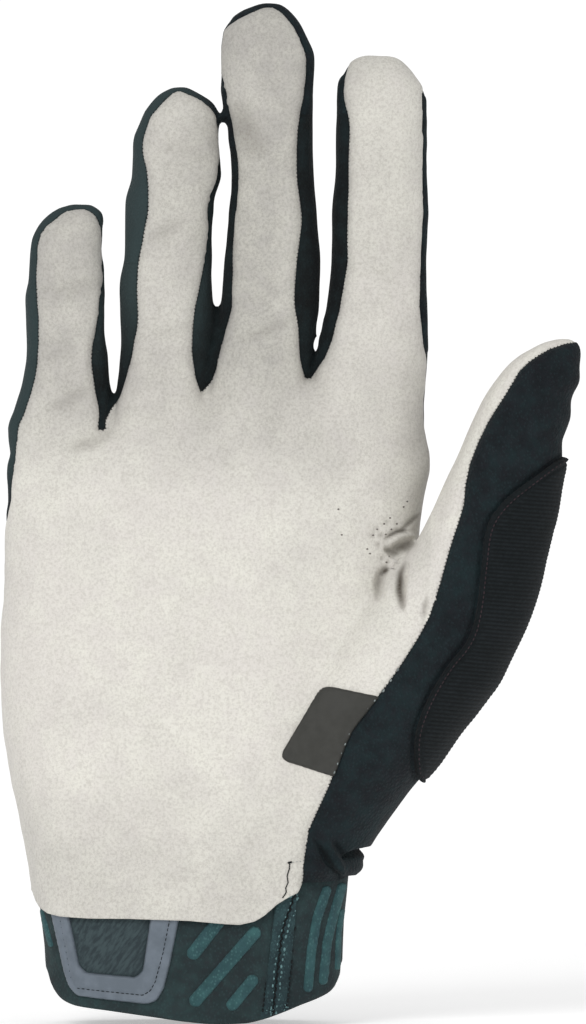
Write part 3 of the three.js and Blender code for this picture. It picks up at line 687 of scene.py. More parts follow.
# Knitted and flocked finishes. tops is the colour of the cells' tops, topShare how much of it shows, pitch
# the size of the cells in metres and strength how far they stand out.
knits = {
    "knit": {"light": (22, 36, 39), "dark": (15, 21, 25), "tops": (41, 59, 62), "fleck": (28, 27, 33),
             "pitch": 0.0007, "topShare": 0.24, "strength": 0.8},
    # The gusset knit is the back's knit made darker: painted shade between the fingers
    "gussetKnit": {"light": (19, 30, 32), "dark": (10, 14, 15), "tops": (32, 48, 50), "fleck": (11, 14, 16),
                   "pitch": 0.0007, "topShare": 0.22, "strength": 0.8},
    "cuffKnit": {"light": (41, 59, 60), "dark": (32, 43, 45), "tops": (56, 78, 80), "fleck": (39, 40, 44),
                 "pitch": 0.0007, "topShare": 0.24, "strength": 0.4},
    "tapeCloth": {"light": (47, 70, 73), "dark": (34, 50, 54), "tops": (70, 100, 102), "fleck": (30, 36, 40),
                  "pitch": 0.0006, "topShare": 0.35, "strength": 0.6},
    "stripeFlock": {"light": (57, 94, 95), "dark": (43, 71, 74), "tops": (86, 126, 125),
                    "fleck": (50, 75, 83), "pitch": 0.0007, "topShare": 0.32, "strength": 0.5},
}
# fold is the colour of the painted shade in the knit's creases
knitShared = {"paleKnit": (56, 70, 71), "fold": (8, 10, 11), "patch": 0.016, "grain": 0.0024, "share": 0.4,
              "unevenness": 0.85, "roughness": 0.88, "sheen": 0.02}


def makeKnit(name):
    finish = knits[name]
    material, tree, shader, vector = newMaterial(name, knitShared["roughness"], knitShared["sheen"])
    tone = toneNode(tree, vector, finish["light"], finish["dark"], finish["fleck"], knitShared["patch"],
                    knitShared["grain"], knitShared["share"])
    cells = placeGroup(tree, "knit", {"Vector": vector, "Pitch": finish["pitch"],
                                       "Unevenness": knitShared["unevenness"]})
    share = mathNode(tree, "MULTIPLY", cells["Tops"], finish["topShare"])
    colour = mixNode(tree, share, tone, linear(*finish["tops"]))
    colour = mixNode(tree, layerNode(tree, "paleKnit"), colour, linear(*knitShared["paleKnit"]))
    tree.links.new(shadeNode(tree, colour, knitShared["fold"]), shader.inputs["Base Color"])
    tree.links.new(bumpNode(tree, cells["Height"], finish["strength"], 0.0003), shader.inputs["Normal"])
    return material


# Slanting streaks on the cuff's knit, where the vertex layer called streak says so
streaks = {"dark": (45, 55, 59), "light": (60, 73, 76), "slant": 38, "long": 4.5, "perMetre": 1500.0}


def makeCuffKnit():
    material = makeKnit("cuffKnit")
    tree = material.node_tree
    shader = tree.nodes["Principled BSDF"]
    plain = shader.inputs["Base Color"].links[0].from_socket
    slant = addNode(tree, "ShaderNodeMapping", {"vector_type": "TEXTURE"},
                    {"Vector": addNode(tree, "ShaderNodeTexCoord").outputs["Object"],
                     "Rotation": (0, math.radians(streaks["slant"]), 0),
                     "Scale": (1, 1, streaks["long"])}).outputs[0]
    lines = rampNode(tree, noiseNode(tree, slant, streaks["perMetre"], 2.0), 0.36, 0.64)
    bright = mixNode(tree, lines, linear(*streaks["dark"]), linear(*streaks["light"]))
    tree.links.new(mixNode(tree, layerNode(tree, "streak"), plain, bright), shader.inputs["Base Color"])
    return material


# Rubber finishes, with the size of their fine grain in metres
rubbers = {
    "frameRubber": {"light": (107, 116, 126), "dark": (94, 103, 112), "grain": 0.0004, "roughness": 0.5},
    "labelRubber": {"light": (63, 63, 60), "dark": (56, 56, 53), "grain": 0.0003, "roughness": 0.62},
}


def makeRubber(name):
    finish = rubbers[name]
    material, tree, shader, vector = newMaterial(name, finish["roughness"])
    tone = toneNode(tree, vector, finish["light"], finish["dark"], finish["dark"], 0.012, 0.0005, 0.2)
    tree.links.new(tone, shader.inputs["Base Color"])
    skin = noiseNode(tree, vector, 1 / finish["grain"], 2.0)
    tree.links.new(bumpNode(tree, skin, 0.3, 0.00006), shader.inputs["Normal"])
    return material


# groove is the colour of painted shade in the grooves between the wipe's ribs, and the share is how much of
# it shows
terry = {"light": (24, 30, 33), "dark": (17, 23, 25), "fleck": (41, 47, 51), "groove": (6, 8, 9),
         "grooveShadeShare": 0.8, "fibre": 0.0003, "roughness": 0.97, "sheen": 0.02}


def makeTerry():
    material, tree, shader, vector = newMaterial("terry", terry["roughness"], terry["sheen"])
    tone = toneNode(tree, vector, terry["light"], terry["dark"], terry["fleck"], 0.02, 0.0008, 0.35)
    # Painted shade in the grooves between the ribs, from the layer that marks them
    share = mathNode(tree, "MULTIPLY", layerNode(tree, "grooveShade"), terry["grooveShadeShare"])
    tree.links.new(mixNode(tree, share, tone, linear(*terry["groove"])), shader.inputs["Base Color"])
    fibre = placeGroup(tree, "fibre", {"Vector": vector, "Size": terry["fibre"], "Stretch": (0.5, 0.5, 1.0)})
    tree.links.new(bumpNode(tree, fibre["Height"], 0.6, 0.00025), shader.inputs["Normal"])
    return material


threadColours = {
    "darkThread": (24, 29, 31),
    "brownThread": (62, 49, 54),
    "lightThread": (112, 148, 151),
    # The beads at the needle holes are painted shade: the dark of the puckered holes
    "needleHoleShade": (116, 110, 104),
    "greyThread": (158, 168, 168),
}


def makeThread(name):
    colour = threadColours[name]
    material, tree, shader, vector = newMaterial(name, 0.7)
    dark, fleck = ([part * share for part in colour] for share in (0.75, 0.6))
    tree.links.new(toneNode(tree, vector, colour, dark, fleck, 0.004, 0.0003, 0.3),
                   shader.inputs["Base Color"])
    fibre = placeGroup(tree, "fibre", {"Vector": vector, "Size": 0.0002})["Height"]
    tree.links.new(bumpNode(tree, fibre, 0.4, 0.00008), shader.inputs["Normal"])
    return material


materials = {"suede": makeSuede(), "cuffKnit": makeCuffKnit(), "terry": makeTerry()}
for name in ("knit", "gussetKnit", "tapeCloth", "stripeFlock"):
    materials[name] = makeKnit(name)
for name in rubbers:
    materials[name] = makeRubber(name)
for name in threadColours:
    materials[name] = makeThread(name)
print("stage: materials made")


# How the fused form is evened out: all of it, then most at the fingers' webs and at the ball of the thumb
evening = {
    "share": 0.5, "rounds": 3, "softRounds": 26,
    "web": {"from": (112, 122), "to": (136, 148), "right": 56, "facing": (0.5, 0.85)},
    "ball": {"x": 42, "z": 84, "wide": 14, "high": 22, "to": (96, 104)},
}


# The hand as one skin: overlapping lobes fused by a voxel remesh, then evened out
def makeHandSkin():
    bm = bmesh.new()
    loftLobe(bm, palmSections(), glove["palmSides"], glove["palmRoundness"])
    loftLobe(bm, thumbSections(), glove["thumbSides"], glove["roundness"])
    for finger in fingers.values():
        loftLobe(bm, fingerSections(finger), glove["fingerSides"], glove["roundness"])
    tubeAlong(bm, hemRollPoints(), hemRoll["radius"], hemRoll["sides"])
    bmesh.ops.recalc_face_normals(bm, faces=bm.faces)
    mesh = bpy.data.meshes.new("handForm")
    bm.to_mesh(mesh)
    bm.free()
    form = bpy.data.objects.new("handForm", mesh)
    bpy.context.scene.collection.objects.link(form)
    fuse = form.modifiers.new("fuse", "REMESH")
    fuse.mode = "VOXEL"
    fuse.voxel_size = glove["skinCell"]
    bpy.context.view_layer.update()
    fused = bpy.data.meshes.new_from_object(form.evaluated_get(bpy.context.evaluated_depsgraph_get()))
    skin = bmesh.new()
    skin.from_mesh(fused)
    bpy.data.objects.remove(form)
    relax(skin, evening["share"], evening["rounds"])
    places, outward = coordinates(skin), normals(skin)
    x, z = places[:, 0], places[:, 2]
    web, ball = evening["web"], evening["ball"]
    soft = smoothStep(*web["from"], z) * (1 - smoothStep(*web["to"], z)) * (x < web["right"])
    soft *= smoothStep(*web["facing"], np.abs(outward[:, 1]))
    swollen = np.exp(-(((x - ball["x"]) / ball["wide"]) ** 2 + ((z - ball["z"]) / ball["high"]) ** 2))
    swollen *= 1 - smoothStep(*ball["to"], z)
    relax(skin, evening["share"] * np.clip(soft + swollen, 0, 1), evening["softRounds"])
    return skin


# The ribbed wipe panel on the thumb: rows of ribs wrap round the thumb's middle line
wipe = {
    "edge": [(0.812, 0.75), (0.788, 0.47), (0.723, 0.22), (0.689, 0.11), (0.645, 0.064), (0.576, 0.165),
             (0.482, 0.307), (0.426, 0.35), (0.378, 0.254), (0.299, 0.216), (0.229, 0.27),
             (0.136, 0.504), (0.09, 1.3), (0.812, 1.3)],   # up, across
    "low": 0.09, "high": 0.82, "backShare": 0.2, "fromAngle": -100, "toAngle": 62,
    "columns": 104, "rowStep": 0.215,
    "groove": 0.7, "grooveOut": 0.25, "grooveWide": 0.5,          # pressed into the cloth round the pad
    "thickness": 1.25, "under": 0.15, "rounding": 0.7, "wall": 0.4,
    "piping": 0.2, "pipingIn": 0.5, "pipingWide": 0.35,           # the raised edge
    "channel": 0.3, "channelIn": 1.15, "channelWide": 0.3,        # between the edge and the ribs
    "ribFrom": (1.3, 1.8), "ribPitch": 0.86, "ribHeight": 0.055, "ribSlant": 0.06,
    "nap": 0.05, "napSize": 1.1,
}


def smoothOutline(corners, rounds=2):
    for _ in range(rounds):
        following = corners[1:] + corners[:1]
        corners = [point for (ax, az), (bx, bz) in zip(corners, following)
                   for point in ((0.75 * ax + 0.25 * bx, 0.75 * az + 0.25 * bz),
                                 (0.25 * ax + 0.75 * bx, 0.25 * az + 0.75 * bz))]
    return corners


wipeOutline = smoothOutline([(thumbX(up, across), thumbZ(up)) for up, across in wipe["edge"]])


# Folds pressed into the cloth: a line seen from the palm, how deep (below zero stands out), how wide.
# shade is painted shade in the bottom of a fold, and below zero it takes painted shade away on a ridge; an
# open fold runs on round the side.
folds = [
    {"line": [(46.7, 101.4), (45.5, 98.4), (45.2, 95.0), (45.9, 90.6)], "deep": 2.8, "wide": 0.95,
     "shade": 1.0},
    {"line": [(49.3, 104.6), (46.4, 103.0), (43.9, 100.2), (43.2, 97.0), (43.0, 92.5)], "deep": -1.0,
     "wide": 1.2, "shade": -0.25},
    {"line": [(43.3, 100.6), (41.4, 98.3), (40.7, 96.0), (40.2, 92.6)], "deep": 1.5, "wide": 0.95,
     "shade": 0.5},
    {"line": [(43.2, 99.8), (41.6, 98.6)], "deep": 0.8, "wide": 0.6, "shade": 0.7},
    {"line": [(42.0, 106.0), (43.4, 106.9), (45.0, 107.7), (47.6, 108.0)], "deep": 1.1, "wide": 0.5,
     "shade": 0.75},
    {"line": [(43.0, 105.0), (45.4, 106.5), (49.0, 106.6)], "deep": -0.8, "wide": 0.9, "shade": -0.2},
    {"line": [(42.8, 102.6), (45.4, 104.0), (49.2, 105.2)], "deep": 1.5, "wide": 1.5, "shade": 0.62},
    {"line": [(51.2, 93.8), (50.7, 91.0), (50.6, 88.6)], "deep": 0.8, "wide": 0.7, "shade": 0.4},
    {"line": [(45.6, 107.6), (47.4, 109.4), (50.2, 112.0)], "deep": 0.9, "wide": 0.5, "shade": 0.55},
    {"line": [(41.8, 104.4), (43.6, 103.2), (44.4, 101.4)], "deep": 0.7, "wide": 0.6, "shade": 0.3},
    {"line": [(26.8, 40.4), (28.9, 37.2), (30.8, 34.4), (32.8, 31.4)], "deep": 1.5, "wide": 0.7,
     "shade": 0.8},
    {"line": [(29.4, 39.4), (31.4, 36.0), (33.4, 32.4)], "deep": -0.9, "wide": 0.9, "shade": 0},
    {"line": [(30.8, 40.2), (32.6, 37.4), (34.0, 35.8)], "deep": 0.8, "wide": 0.7, "shade": 0.4},
    {"line": [(33.0, 36.4), (35.6, 37.0), (38.0, 37.3), (41.0, 37.4)], "deep": 2.6, "wide": 0.65,
     "shade": 0.9, "open": 1},
    {"line": [(-17.5, 130.4), (-19.5, 128.8), (-22.0, 127.4), (-27.5, 125.6)], "deep": 1.0, "wide": 1.3,
     "shade": 0.25},
    {"line": [(-32.5, 134.4), (-27.0, 136.2), (-22.0, 139.4)], "deep": 0.7, "wide": 1.6, "shade": 0.2},
    {"line": [(-33.0, 159.6), (-25.0, 160.8), (-19.5, 162.4)], "deep": 0.7, "wide": 2.4, "shade": 0.12},
    {"line": [(-36.0, 145.0), (-24.0, 147.5)], "deep": 0.4, "wide": 1.6, "shade": 0.08},
    {"line": [(-12.0, 121.0), (2.0, 127.0)], "deep": 0.4, "wide": 3.5},
    {"line": [(-11.0, 171.4), (-5.5, 173.2), (-1.0, 176.2)], "deep": 0.9, "wide": 1.7, "shade": 0.18},
    {"line": [(-7.5, 192.4), (3.5, 190.2)], "deep": 0.6, "wide": 2.0, "shade": 0.12},
    {"line": [(8.8, 202.0), (11.2, 196.0), (15.5, 189.0)], "deep": 1.5, "wide": 3.6, "shade": 0.3},
    {"line": [(19.5, 200.4), (27.5, 198.6)], "deep": 0.6, "wide": 2.2, "shade": 0.08},
    {"line": [(1.5, 153.0), (-10.0, 150.4)], "deep": 0.5, "wide": 1.4, "shade": 0.1},
    {"line": [(10.0, 149.4), (23.0, 154.2)], "deep": 0.5, "wide": 1.2, "shade": 0.16},
    {"line": [(12.0, 158.0), (21.0, 160.5)], "deep": 0.35, "wide": 1.4, "shade": 0.06},
    {"line": [(34.0, 166.0), (48.0, 162.0)], "deep": 0.4, "wide": 2.0, "shade": 0.05},
    {"line": [(6.0, 133.0), (10.0, 122.0)], "deep": 0.35, "wide": 3.0},
    {"line": [(28.0, 134.0), (33.0, 124.0)], "deep": 0.35, "wide": 3.0},
    {"line": [(24.0, 78.0), (31.0, 92.0), (34.0, 104.0)], "deep": 0.5, "wide": 5.0},
]
# Folds narrower than finest get smaller faces. At its ends a fold is narrower, and nearly flat.
foldDetail = {"finest": 1.3, "reach": 2.4, "endWidth": 0.45, "endDepth": 0.02, "taper": 0.6,
              "front": (-0.05, 0.35), "openFront": (-0.75, -0.35)}   # how far the cloth may turn away
# Unevenness of all the cloth: how deep, how far apart, and where its noise is read
dents = [(0.35, 17.0, 0.0), (0.14, 6.0, 5.0)]
# Puckers: small dents with painted shade in them, and the needle holes among them
puckers = {"spots": [(40.2, 108.6), (41.4, 106.9), (40.8, 104.9), (42.6, 103.6), (41.6, 101.8), (43.0, 101.0),
                     (44.6, 102.9), (39.2, 107.0), (42.6, 110.0)], "deep": 0.45, "wide": 0.45, "shade": 0.35,
           "holes": [(47.0, 114.3), (46.2, 113.1), (43.2, 110.7), (41.9, 109.4), (40.4, 108.2), (39.5, 106.9),
                     (43.5, 108.2), (44.7, 109.4), (42.3, 107.1), (43.0, 102.3), (44.3, 101.2), (42.4, 101.0),
                     (38.2, 103.9), (38.8, 102.9), (31.9, 112.6), (32.6, 107.0)]}


# How much of a fold each point has: it narrows and fades towards its ends
def foldShape(places, fold):
    lengths = [math.dist(a, b) for a, b in zip(fold["line"], fold["line"][1:])]
    nearest = np.full(len(places), 1e9)
    share = np.zeros(len(places))
    done = 0.0
    for (ax, az), (bx, bz), length in zip(fold["line"], fold["line"][1:], lengths):
        dx, dz = (bx - ax) / length, (bz - az) / length
        along = np.clip((places[:, 0] - ax) * dx + (places[:, 2] - az) * dz, 0, length)
        away = np.hypot(places[:, 0] - ax - along * dx, places[:, 2] - az - along * dz)
        share = np.where(away < nearest, (done + along) / sum(lengths), share)
        nearest = np.minimum(nearest, away)
        done += length
    share = np.minimum(share, 0.5) if fold.get("open") else share
    taper = np.clip(4 * share * (1 - share), foldDetail["endDepth"], 1) ** foldDetail["taper"]
    wide = fold["wide"] * (foldDetail["endWidth"] + (1 - foldDetail["endWidth"]) * taper)
    return taper * np.exp(-(nearest / wide) ** 2)


# Splits the faces beside the narrow folds, so that they can be sharp
def refineFolds(bm):
    places = coordinates(bm)
    narrow = [fold["line"] for fold in folds if fold["wide"] < foldDetail["finest"]]
    near = np.minimum.reduce([lineDistance(places, line) for line in narrow]) < foldDetail["reach"]
    near &= normals(bm)[:, 1] < 0.3   # not on the back
    bm.verts.index_update()
    chosen = [edge for edge in bm.edges if near[edge.verts[0].index] and near[edge.verts[1].index]]
    bmesh.ops.subdivide_edges(bm, edges=chosen, cuts=1, use_grid_fill=True)
    bm.normal_update()


def pressFolds(bm):
    places, outward = coordinates(bm), normals(bm)
    front = smoothStep(*foldDetail["front"], -outward[:, 1])
    push = np.zeros(len(places))
    for fold in folds:
        reach = smoothStep(*foldDetail["openFront"], -outward[:, 1]) if fold.get("open") else front
        push += fold["deep"] * foldShape(places, fold) * reach
    for x, z in puckers["spots"]:
        away = np.hypot(places[:, 0] - x, places[:, 2] - z)
        push += puckers["deep"] * np.exp(-(away / puckers["wide"]) ** 2) * front
    beside = np.abs(outlineDistance(places, wipeOutline) - wipe["grooveOut"])
    push += wipe["groove"] * np.exp(-(beside / wipe["grooveWide"]) ** 2) * front
    for deep, size, offset in dents:
        push -= deep * swell(places, size, offset)
    moveTo(bm, places - outward * push[:, None])


# Regions of the skin, each below zero inside it
def thumbSeamLine(fromUp=0.0):
    ups = np.concatenate([np.linspace(fromUp, 0.96, 50), [0.975, 0.985, 0.995, 1.0]])
    return [(thumbX(u, s), thumbZ(u)) for u, s in zip(ups, columnAt(thumb["rows"], 3, ups))]


# Corners outside the thumb's palm side, from beyond its tip down to its web
def outsideThumb():
    far = cutting["webAcross"]
    corners = [(1, 1, 0.3), (1, 1.04, 0.3), (1, 1.04, far), (0.72, 0.72, far)]
    return [(thumbX(middle, across), thumbZ(up)) for middle, up, across in corners]


def webCorner():
    return thumbX(cutting["webUp"], cutting["webAcross"]), thumbZ(cutting["webUp"])


def stripOutline(finger):
    ups = np.concatenate([np.linspace(0, 0.9, 40), [0.93, 0.955, 0.975, 0.988, 1.0]])
    height = finger["root"] + ups * finger["length"] - finger["tipSeam"]
    sides = [finger["x"] + columnAt(finger["rows"], i, ups) * finger["width"] for i in (3, 4)]
    return list(zip(sides[1], height)) + list(zip(sides[0], height))[::-1]


# How far back the pale panel reaches at each point
def sideSeam(places):
    z = places[:, 2]
    knuckles, root = cutting["knuckles"], fingers["index"]["root"]
    right = np.interp(z, [knuckles, root], [cutting["palmWrap"], 0]) + curlAt(z)
    seam = np.array(cutting["leftSeam"])
    beside = (places[:, 0] < cutting["leftSide"]) & (z < seam[-1, 0])
    return np.where(beside, np.interp(z, *seam.T), right)


def thumbSideSeam(z):
    web, top = thumbZ(cutting["webUp"]), thumbZ(1)
    share = np.clip((z - web) / (top - web), 0, 1.2)
    return cutting["palmWrap"] + share * (float(thumbY(1)) + cutting["thumbWrap"] - cutting["palmWrap"])


paleOutlines = [cutting["palmHem"] + thumbSeamLine(0.01) + outsideThumb() + cutting["palmTop"]]
paleOutlines += [stripOutline(finger) for finger in fingers.values()]
thumbStrip = thumbSeamLine(cutting["webUp"]) + outsideThumb() + [webCorner()]


def paleField(places):
    flat = np.minimum.reduce([outlineDistance(places, corners) for corners in paleOutlines])
    hand = np.maximum(flat, places[:, 1] - sideSeam(places))
    strip = np.maximum(outlineDistance(places, thumbStrip), places[:, 1] - thumbSideSeam(places[:, 2]))
    return np.minimum(hand, strip)


def thumbField(places):
    seam = thumbSeamLine()
    side = 2 * palm["width"]
    front = [(seam[0][0], 0.0)] + seam + [(side, thumbZ(1)), (side, 0.0)]
    back = [seam[0], webCorner()] + outsideThumb()[::-1] + [(side, thumbZ(1)), (side, seam[0][1])]
    behind = np.maximum(outlineDistance(places, back), thumbSideSeam(places[:, 2]) - places[:, 1])
    return np.minimum(outlineDistance(places, front), behind)


def gussetField(number):
    one, other = list(fingers.values())[number:number + 2]
    low = cutting["crotches"][number] - cutting["gussetBelowCrotch"]
    high = min(one["root"] + one["length"], other["root"] + other["length"]) - cutting["gussetBelowTip"]

    def field(places):
        box = [(one["x"], low), (other["x"], low), (other["x"], high), (one["x"], high)]
        behind = places[:, 1] - curlAt(places[:, 2]) - cutting["gussetDepth"]
        return np.maximum(outlineDistance(places, box), behind)

    return field


def darkHemHeight(x):
    return np.interp(x, *np.array(cutting["darkHem"]).T)


def wasteField(places):
    return places[:, 2] - darkHemHeight(places[:, 0])


regions = {"back": 0, "pale": 1, "thumb": 2, "gusset0": 3, "gusset1": 4, "gusset2": 5, "waste": 6}


# Cuts the skin into its panels. A face's material number says which panel it is in.
def cutPanels(bm):
    cutAlong(bm, paleField)
    for face, value in zip(bm.faces, paleField(centres(bm))):
        face.material_index = regions["pale"] if value < 0 else regions["back"]
    cuts = [("thumb", thumbField)]
    cuts += [(f"gusset{number}", gussetField(number)) for number in range(3)]
    cuts += [("waste", wasteField)]
    for name, field in cuts:
        among = {regions["back"], regions["thumb"]} if name == "waste" else {regions["back"]}
        cutAlong(bm, field, among=among)
        for face, value in zip(bm.faces, field(centres(bm))):
            if face.material_index in among and value < 0:
                face.material_index = regions[name]
    print("stage: panels cut", len(bm.faces), "faces")


# Edges where two panels meet
def seamEdges(bm, wanted):
    found = []
    for edge in bm.edges:
        if len(edge.link_faces) == 2:
            pair = {face.material_index for face in edge.link_faces}
            if len(pair) == 2 and wanted(pair):
                found.append(edge)
    return found


# Orders loose edges into runs of points with the cloth's direction at each
def runsOf(edges):
    near = {}
    for edge in edges:
        for vert in edge.verts:
            near.setdefault(vert, []).append(edge)
    left = set(edges)
    runs = []
    starts = sorted((v for v in near if len(near[v]) != 2), key=lambda v: v.index)
    starts += sorted(near, key=lambda v: v.index)
    for start in starts:
        for first in near[start]:
            if first not in left:
                continue
            run, vert, edge = [start], start, first
            while edge is not None:
                left.discard(edge)
                vert = edge.other_vert(vert)
                run.append(vert)
                more = [e for e in near[vert] if e in left]
                edge = more[0] if more and len(near[vert]) == 2 else None
            runs.append([(v.co.copy(), v.normal.copy()) for v in run])
    return runs


# Points a set distance apart along a run
def spaced(run, pitch):
    points = np.array([p for p, _ in run])
    facing = np.array([n for _, n in run])
    steps = np.linalg.norm(np.diff(points, axis=0), axis=1)
    along = np.concatenate([[0], np.cumsum(steps)])
    count = int(along[-1] / pitch)
    if count < 2:
        return []
    at = np.linspace(0, along[-1], count)
    place = np.stack([np.interp(at, along, points[:, i]) for i in range(3)], 1)
    normal = np.stack([np.interp(at, along, facing[:, i]) for i in range(3)], 1)
    ahead = np.gradient(place, axis=0)
    return [(Vector(p), Vector(n).normalized(), Vector(a).normalized())
            for p, n, a in zip(place, normal, ahead)]


# One stitch: a small bead of thread, long across or along its line
def addStitch(bm, place, normal, ahead, size, across):
    side = normal.cross(ahead).normalized()
    along = side if across else ahead
    other = normal.cross(along).normalized()
    turn = Matrix((along, other, normal)).transposed().to_4x4()
    shape = Matrix.Translation(place) @ turn @ Matrix.Diagonal((size[0], size[1], size[2], 1))
    bmesh.ops.create_icosphere(bm, subdivisions=1, radius=0.5, matrix=shape)


# How the cloth is drawn in at its seams, and stands up a little beside them
seams = {"pinch": 0.55, "reach": 0.95, "puff": 0.16, "puffAway": 2.6, "puffWide": 1.6,
         "pucker": 0.22, "puckerSize": 3.6, "puckerReach": 4.5}


# Draws the cloth in along the seams of the pale panel and of the thumb, with small puckers beside them
def pinchSeams(bm):
    sewn = {regions["pale"], regions["thumb"]}
    edges = seamEdges(bm, lambda pair: regions["waste"] not in pair and pair & sewn)
    marks = {vert for edge in edges for vert in edge.verts}
    tree = KDTree(len(marks))
    for i, vert in enumerate(marks):
        tree.insert(vert.co, i)
    tree.balance()
    places, outward = coordinates(bm), normals(bm)
    away = np.array([tree.find(vert.co)[2] for vert in bm.verts])
    push = seams["pinch"] * np.exp(-(away / seams["reach"]) ** 2)
    push -= seams["puff"] * np.exp(-((away - seams["puffAway"]) / seams["puffWide"]) ** 2)
    close = np.exp(-(away / seams["puckerReach"]) ** 2)
    push += seams["pucker"] * swell(places, seams["puckerSize"], 3.0) * close
    moveTo(bm, places - outward * push[:, None])


# Keeps the lower edge of the dark panels on its line, where drawing in the seams moved it
def levelHem(bm):
    dark = {regions["back"], regions["thumb"]}
    slack = 0.1
    for face in bm.faces:
        if face.material_index in dark:
            for vert in face.verts:
                vert.co.z = max(vert.co.z, float(darkHemHeight(vert.co.x)) - slack)
    bm.normal_update()


# How grey the suede is: the palm is lightest, and the index is the lightest finger. A pair is a range of
# places over which the grey comes in or goes.
greyness = {
    "fingers": [(-36.0, 0.92), (-27.0, 0.86), (-16.0, 0.66), (-4.6, 0.68), (6.0, 0.86), (16.9, 0.98),
                (25.0, 0.7), (33.0, 0.36), (50.0, 0.3)],   # x, grey
    "fingersFrom": (106, 150), "fingersRight": 56,
    "underIndex": {"grey": 0.3, "across": (10, 40), "from": (85, 112), "to": (128, 150), "right": 52},
    "heel": {"grey": 0.5, "to": (26, 66)},
    "patches": [(0.22, 15.0, 9.0), (0.12, 5.0, 4.0)],   # grey, how far apart, where the noise is read
}
# Where the knit of the little finger's side is paler, seen from the palm
knitPaling = {"share": 0.7, "from": (138, 165), "sideFrom": (110, 125), "sideX": -32,
          "across": (-6, 10), "behind": (-2, 4)}


def markTone(bm):
    layer = bm.verts.layers.float.new("tone")
    shade = bm.verts.layers.float.new("shade")
    paleKnit = bm.verts.layers.float.new("paleKnit")
    places, outward = coordinates(bm), normals(bm)
    x, z = places[:, 0], places[:, 2]
    under, heel = greyness["underIndex"], greyness["heel"]
    tone = np.interp(x, *np.array(greyness["fingers"]).T)
    tone *= smoothStep(*greyness["fingersFrom"], z) * (x < greyness["fingersRight"])
    below = smoothStep(*under["across"], x) * smoothStep(*under["from"], z) * (x < under["right"])
    tone += under["grey"] * below * (1 - smoothStep(*under["to"], z))
    tone += heel["grey"] * (1 - smoothStep(*heel["to"], z))
    for grey, size, offset in greyness["patches"]:
        tone += grey * swell(places, size, offset)
    # Painted shade in the bottoms of the folds and puckers, carried by the shade layer
    dark = np.zeros(len(places))
    for fold in folds:
        dark += fold.get("shade", 0) * foldShape(places, fold) ** 1.3 * (outward[:, 1] < 0.5)
    for px, pz in puckers["spots"]:
        away = np.hypot(x - px, z - pz)
        dark += puckers["shade"] * np.exp(-(away / puckers["wide"]) ** 2) * (outward[:, 1] < 0)
    side = smoothStep(*knitPaling["sideFrom"], z) * (x < knitPaling["sideX"])
    paling = np.maximum(smoothStep(*knitPaling["from"], z), side)
    paling *= knitPaling["share"] * (1 - smoothStep(*knitPaling["across"], x))
    paling *= 1 - smoothStep(*knitPaling["behind"], places[:, 1] - curlAt(z))
    for vert, grey, depth, pale in zip(bm.verts, np.clip(tone, 0, 1.1), np.clip(dark, 0, 1), paling):
        vert[layer] = float(grey)
        vert[shade] = float(depth)
        vert[paleKnit] = float(pale)


skin = makeHandSkin()
print("stage: hand skin", len(skin.faces), "faces")
refineFolds(skin)
pressFolds(skin)
cutPanels(skin)
pinchSeams(skin)
levelHem(skin)
markTone(skin)
handSurface = BVHTree.FromBMesh(skin)

panelOf = np.array([face.material_index for face in skin.faces])
paleSeams = runsOf(seamEdges(skin, lambda pair: regions["pale"] in pair and regions["waste"] not in pair))

finishPiece(kept(skin, panelOf == regions["pale"]), "palm_suede", materials["suede"],
            ["palm_panel"], glove["clothWall"])
finishPiece(kept(skin, panelOf == regions["back"]), "back_knit", materials["knit"],
            ["back_panel"], glove["clothWall"])
# The gussets get the darker knit, painted shade between the fingers
for number, name in enumerate(["little_ring", "ring_middle", "middle_index"]):
    finishPiece(kept(skin, panelOf == regions[f"gusset{number}"]), f"gusset_knit_{name}",
                materials["gussetKnit"], [f"gusset_{name}"], glove["clothWall"])
finishPiece(kept(skin, panelOf == regions["thumb"]), "thumb_knit", materials["knit"],
            ["thumb_panel"], glove["clothWall"])


# Fine stitches that bind the edges of the pale panel, which give it its scalloped edge
seamStitch = {"pitch": 0.85, "long": 0.72, "wide": 0.32, "thick": 0.26, "grow": (0.6, 1.3)}


def makeSeamStitches():
    bm = bmesh.new()
    for run in paleSeams:
        for place, normal, ahead in spaced(run, seamStitch["pitch"]):
            size = (seamStitch["long"] * luck.uniform(*seamStitch["grow"]), seamStitch["wide"],
                    seamStitch["thick"])
            addStitch(bm, place, normal, ahead, size, True)
    finishPiece(bm, "seam_stitches", materials["darkThread"])


makeSeamStitches()
print("stage: panels and seams done")


# The cuff: a ring of knit that runs up inside the hem, with a curved lower edge
cuff = {
    "sections": [  # height, left, right, front, back
        (-4.0, -32.0, 32.2, 19.7, 19.7), (10.7, -32.3, 32.4, 19.5, 19.5), (12.4, -32.4, 32.5, 19.5, 19.5),
        (13.4, -32.5, 32.9, 19.5, 19.5), (16.8, -32.7, 33.0, 19.5, 19.5),
        (22.0, -33.3, 33.2, 19.8, 19.6), (28.0, -34.0, 33.8, 19.7, 19.2), (35.4, -34.8, 34.4, 19.6, 18.6),
    ],
    "rim": [(-40.0, 14.5), (-32.3, 10.8), (-31.0, 7.5), (-28.6, 5.1), (-25.5, 4.0), (-18.3, 3.1),
            (-8.6, 1.8), (-0.7, 0.7), (5.7, 0.2), (11.4, 0.4), (15.4, 1.2), (20.2, 2.8), (23.8, 4.2),
            (27.8, 5.6), (30.4, 6.8), (31.7, 8.0), (32.5, 9.6), (40.0, 14.5)],
    "top": 35.4, "wall": 1.5, "sides": 300, "rows": 60,
    "edge": 0.55, "edgeWide": 0.7,   # how the knit turns in at its rim
    "swell": 0.3, "swellSize": 11.0, "swellFrom": (0, 6),
}


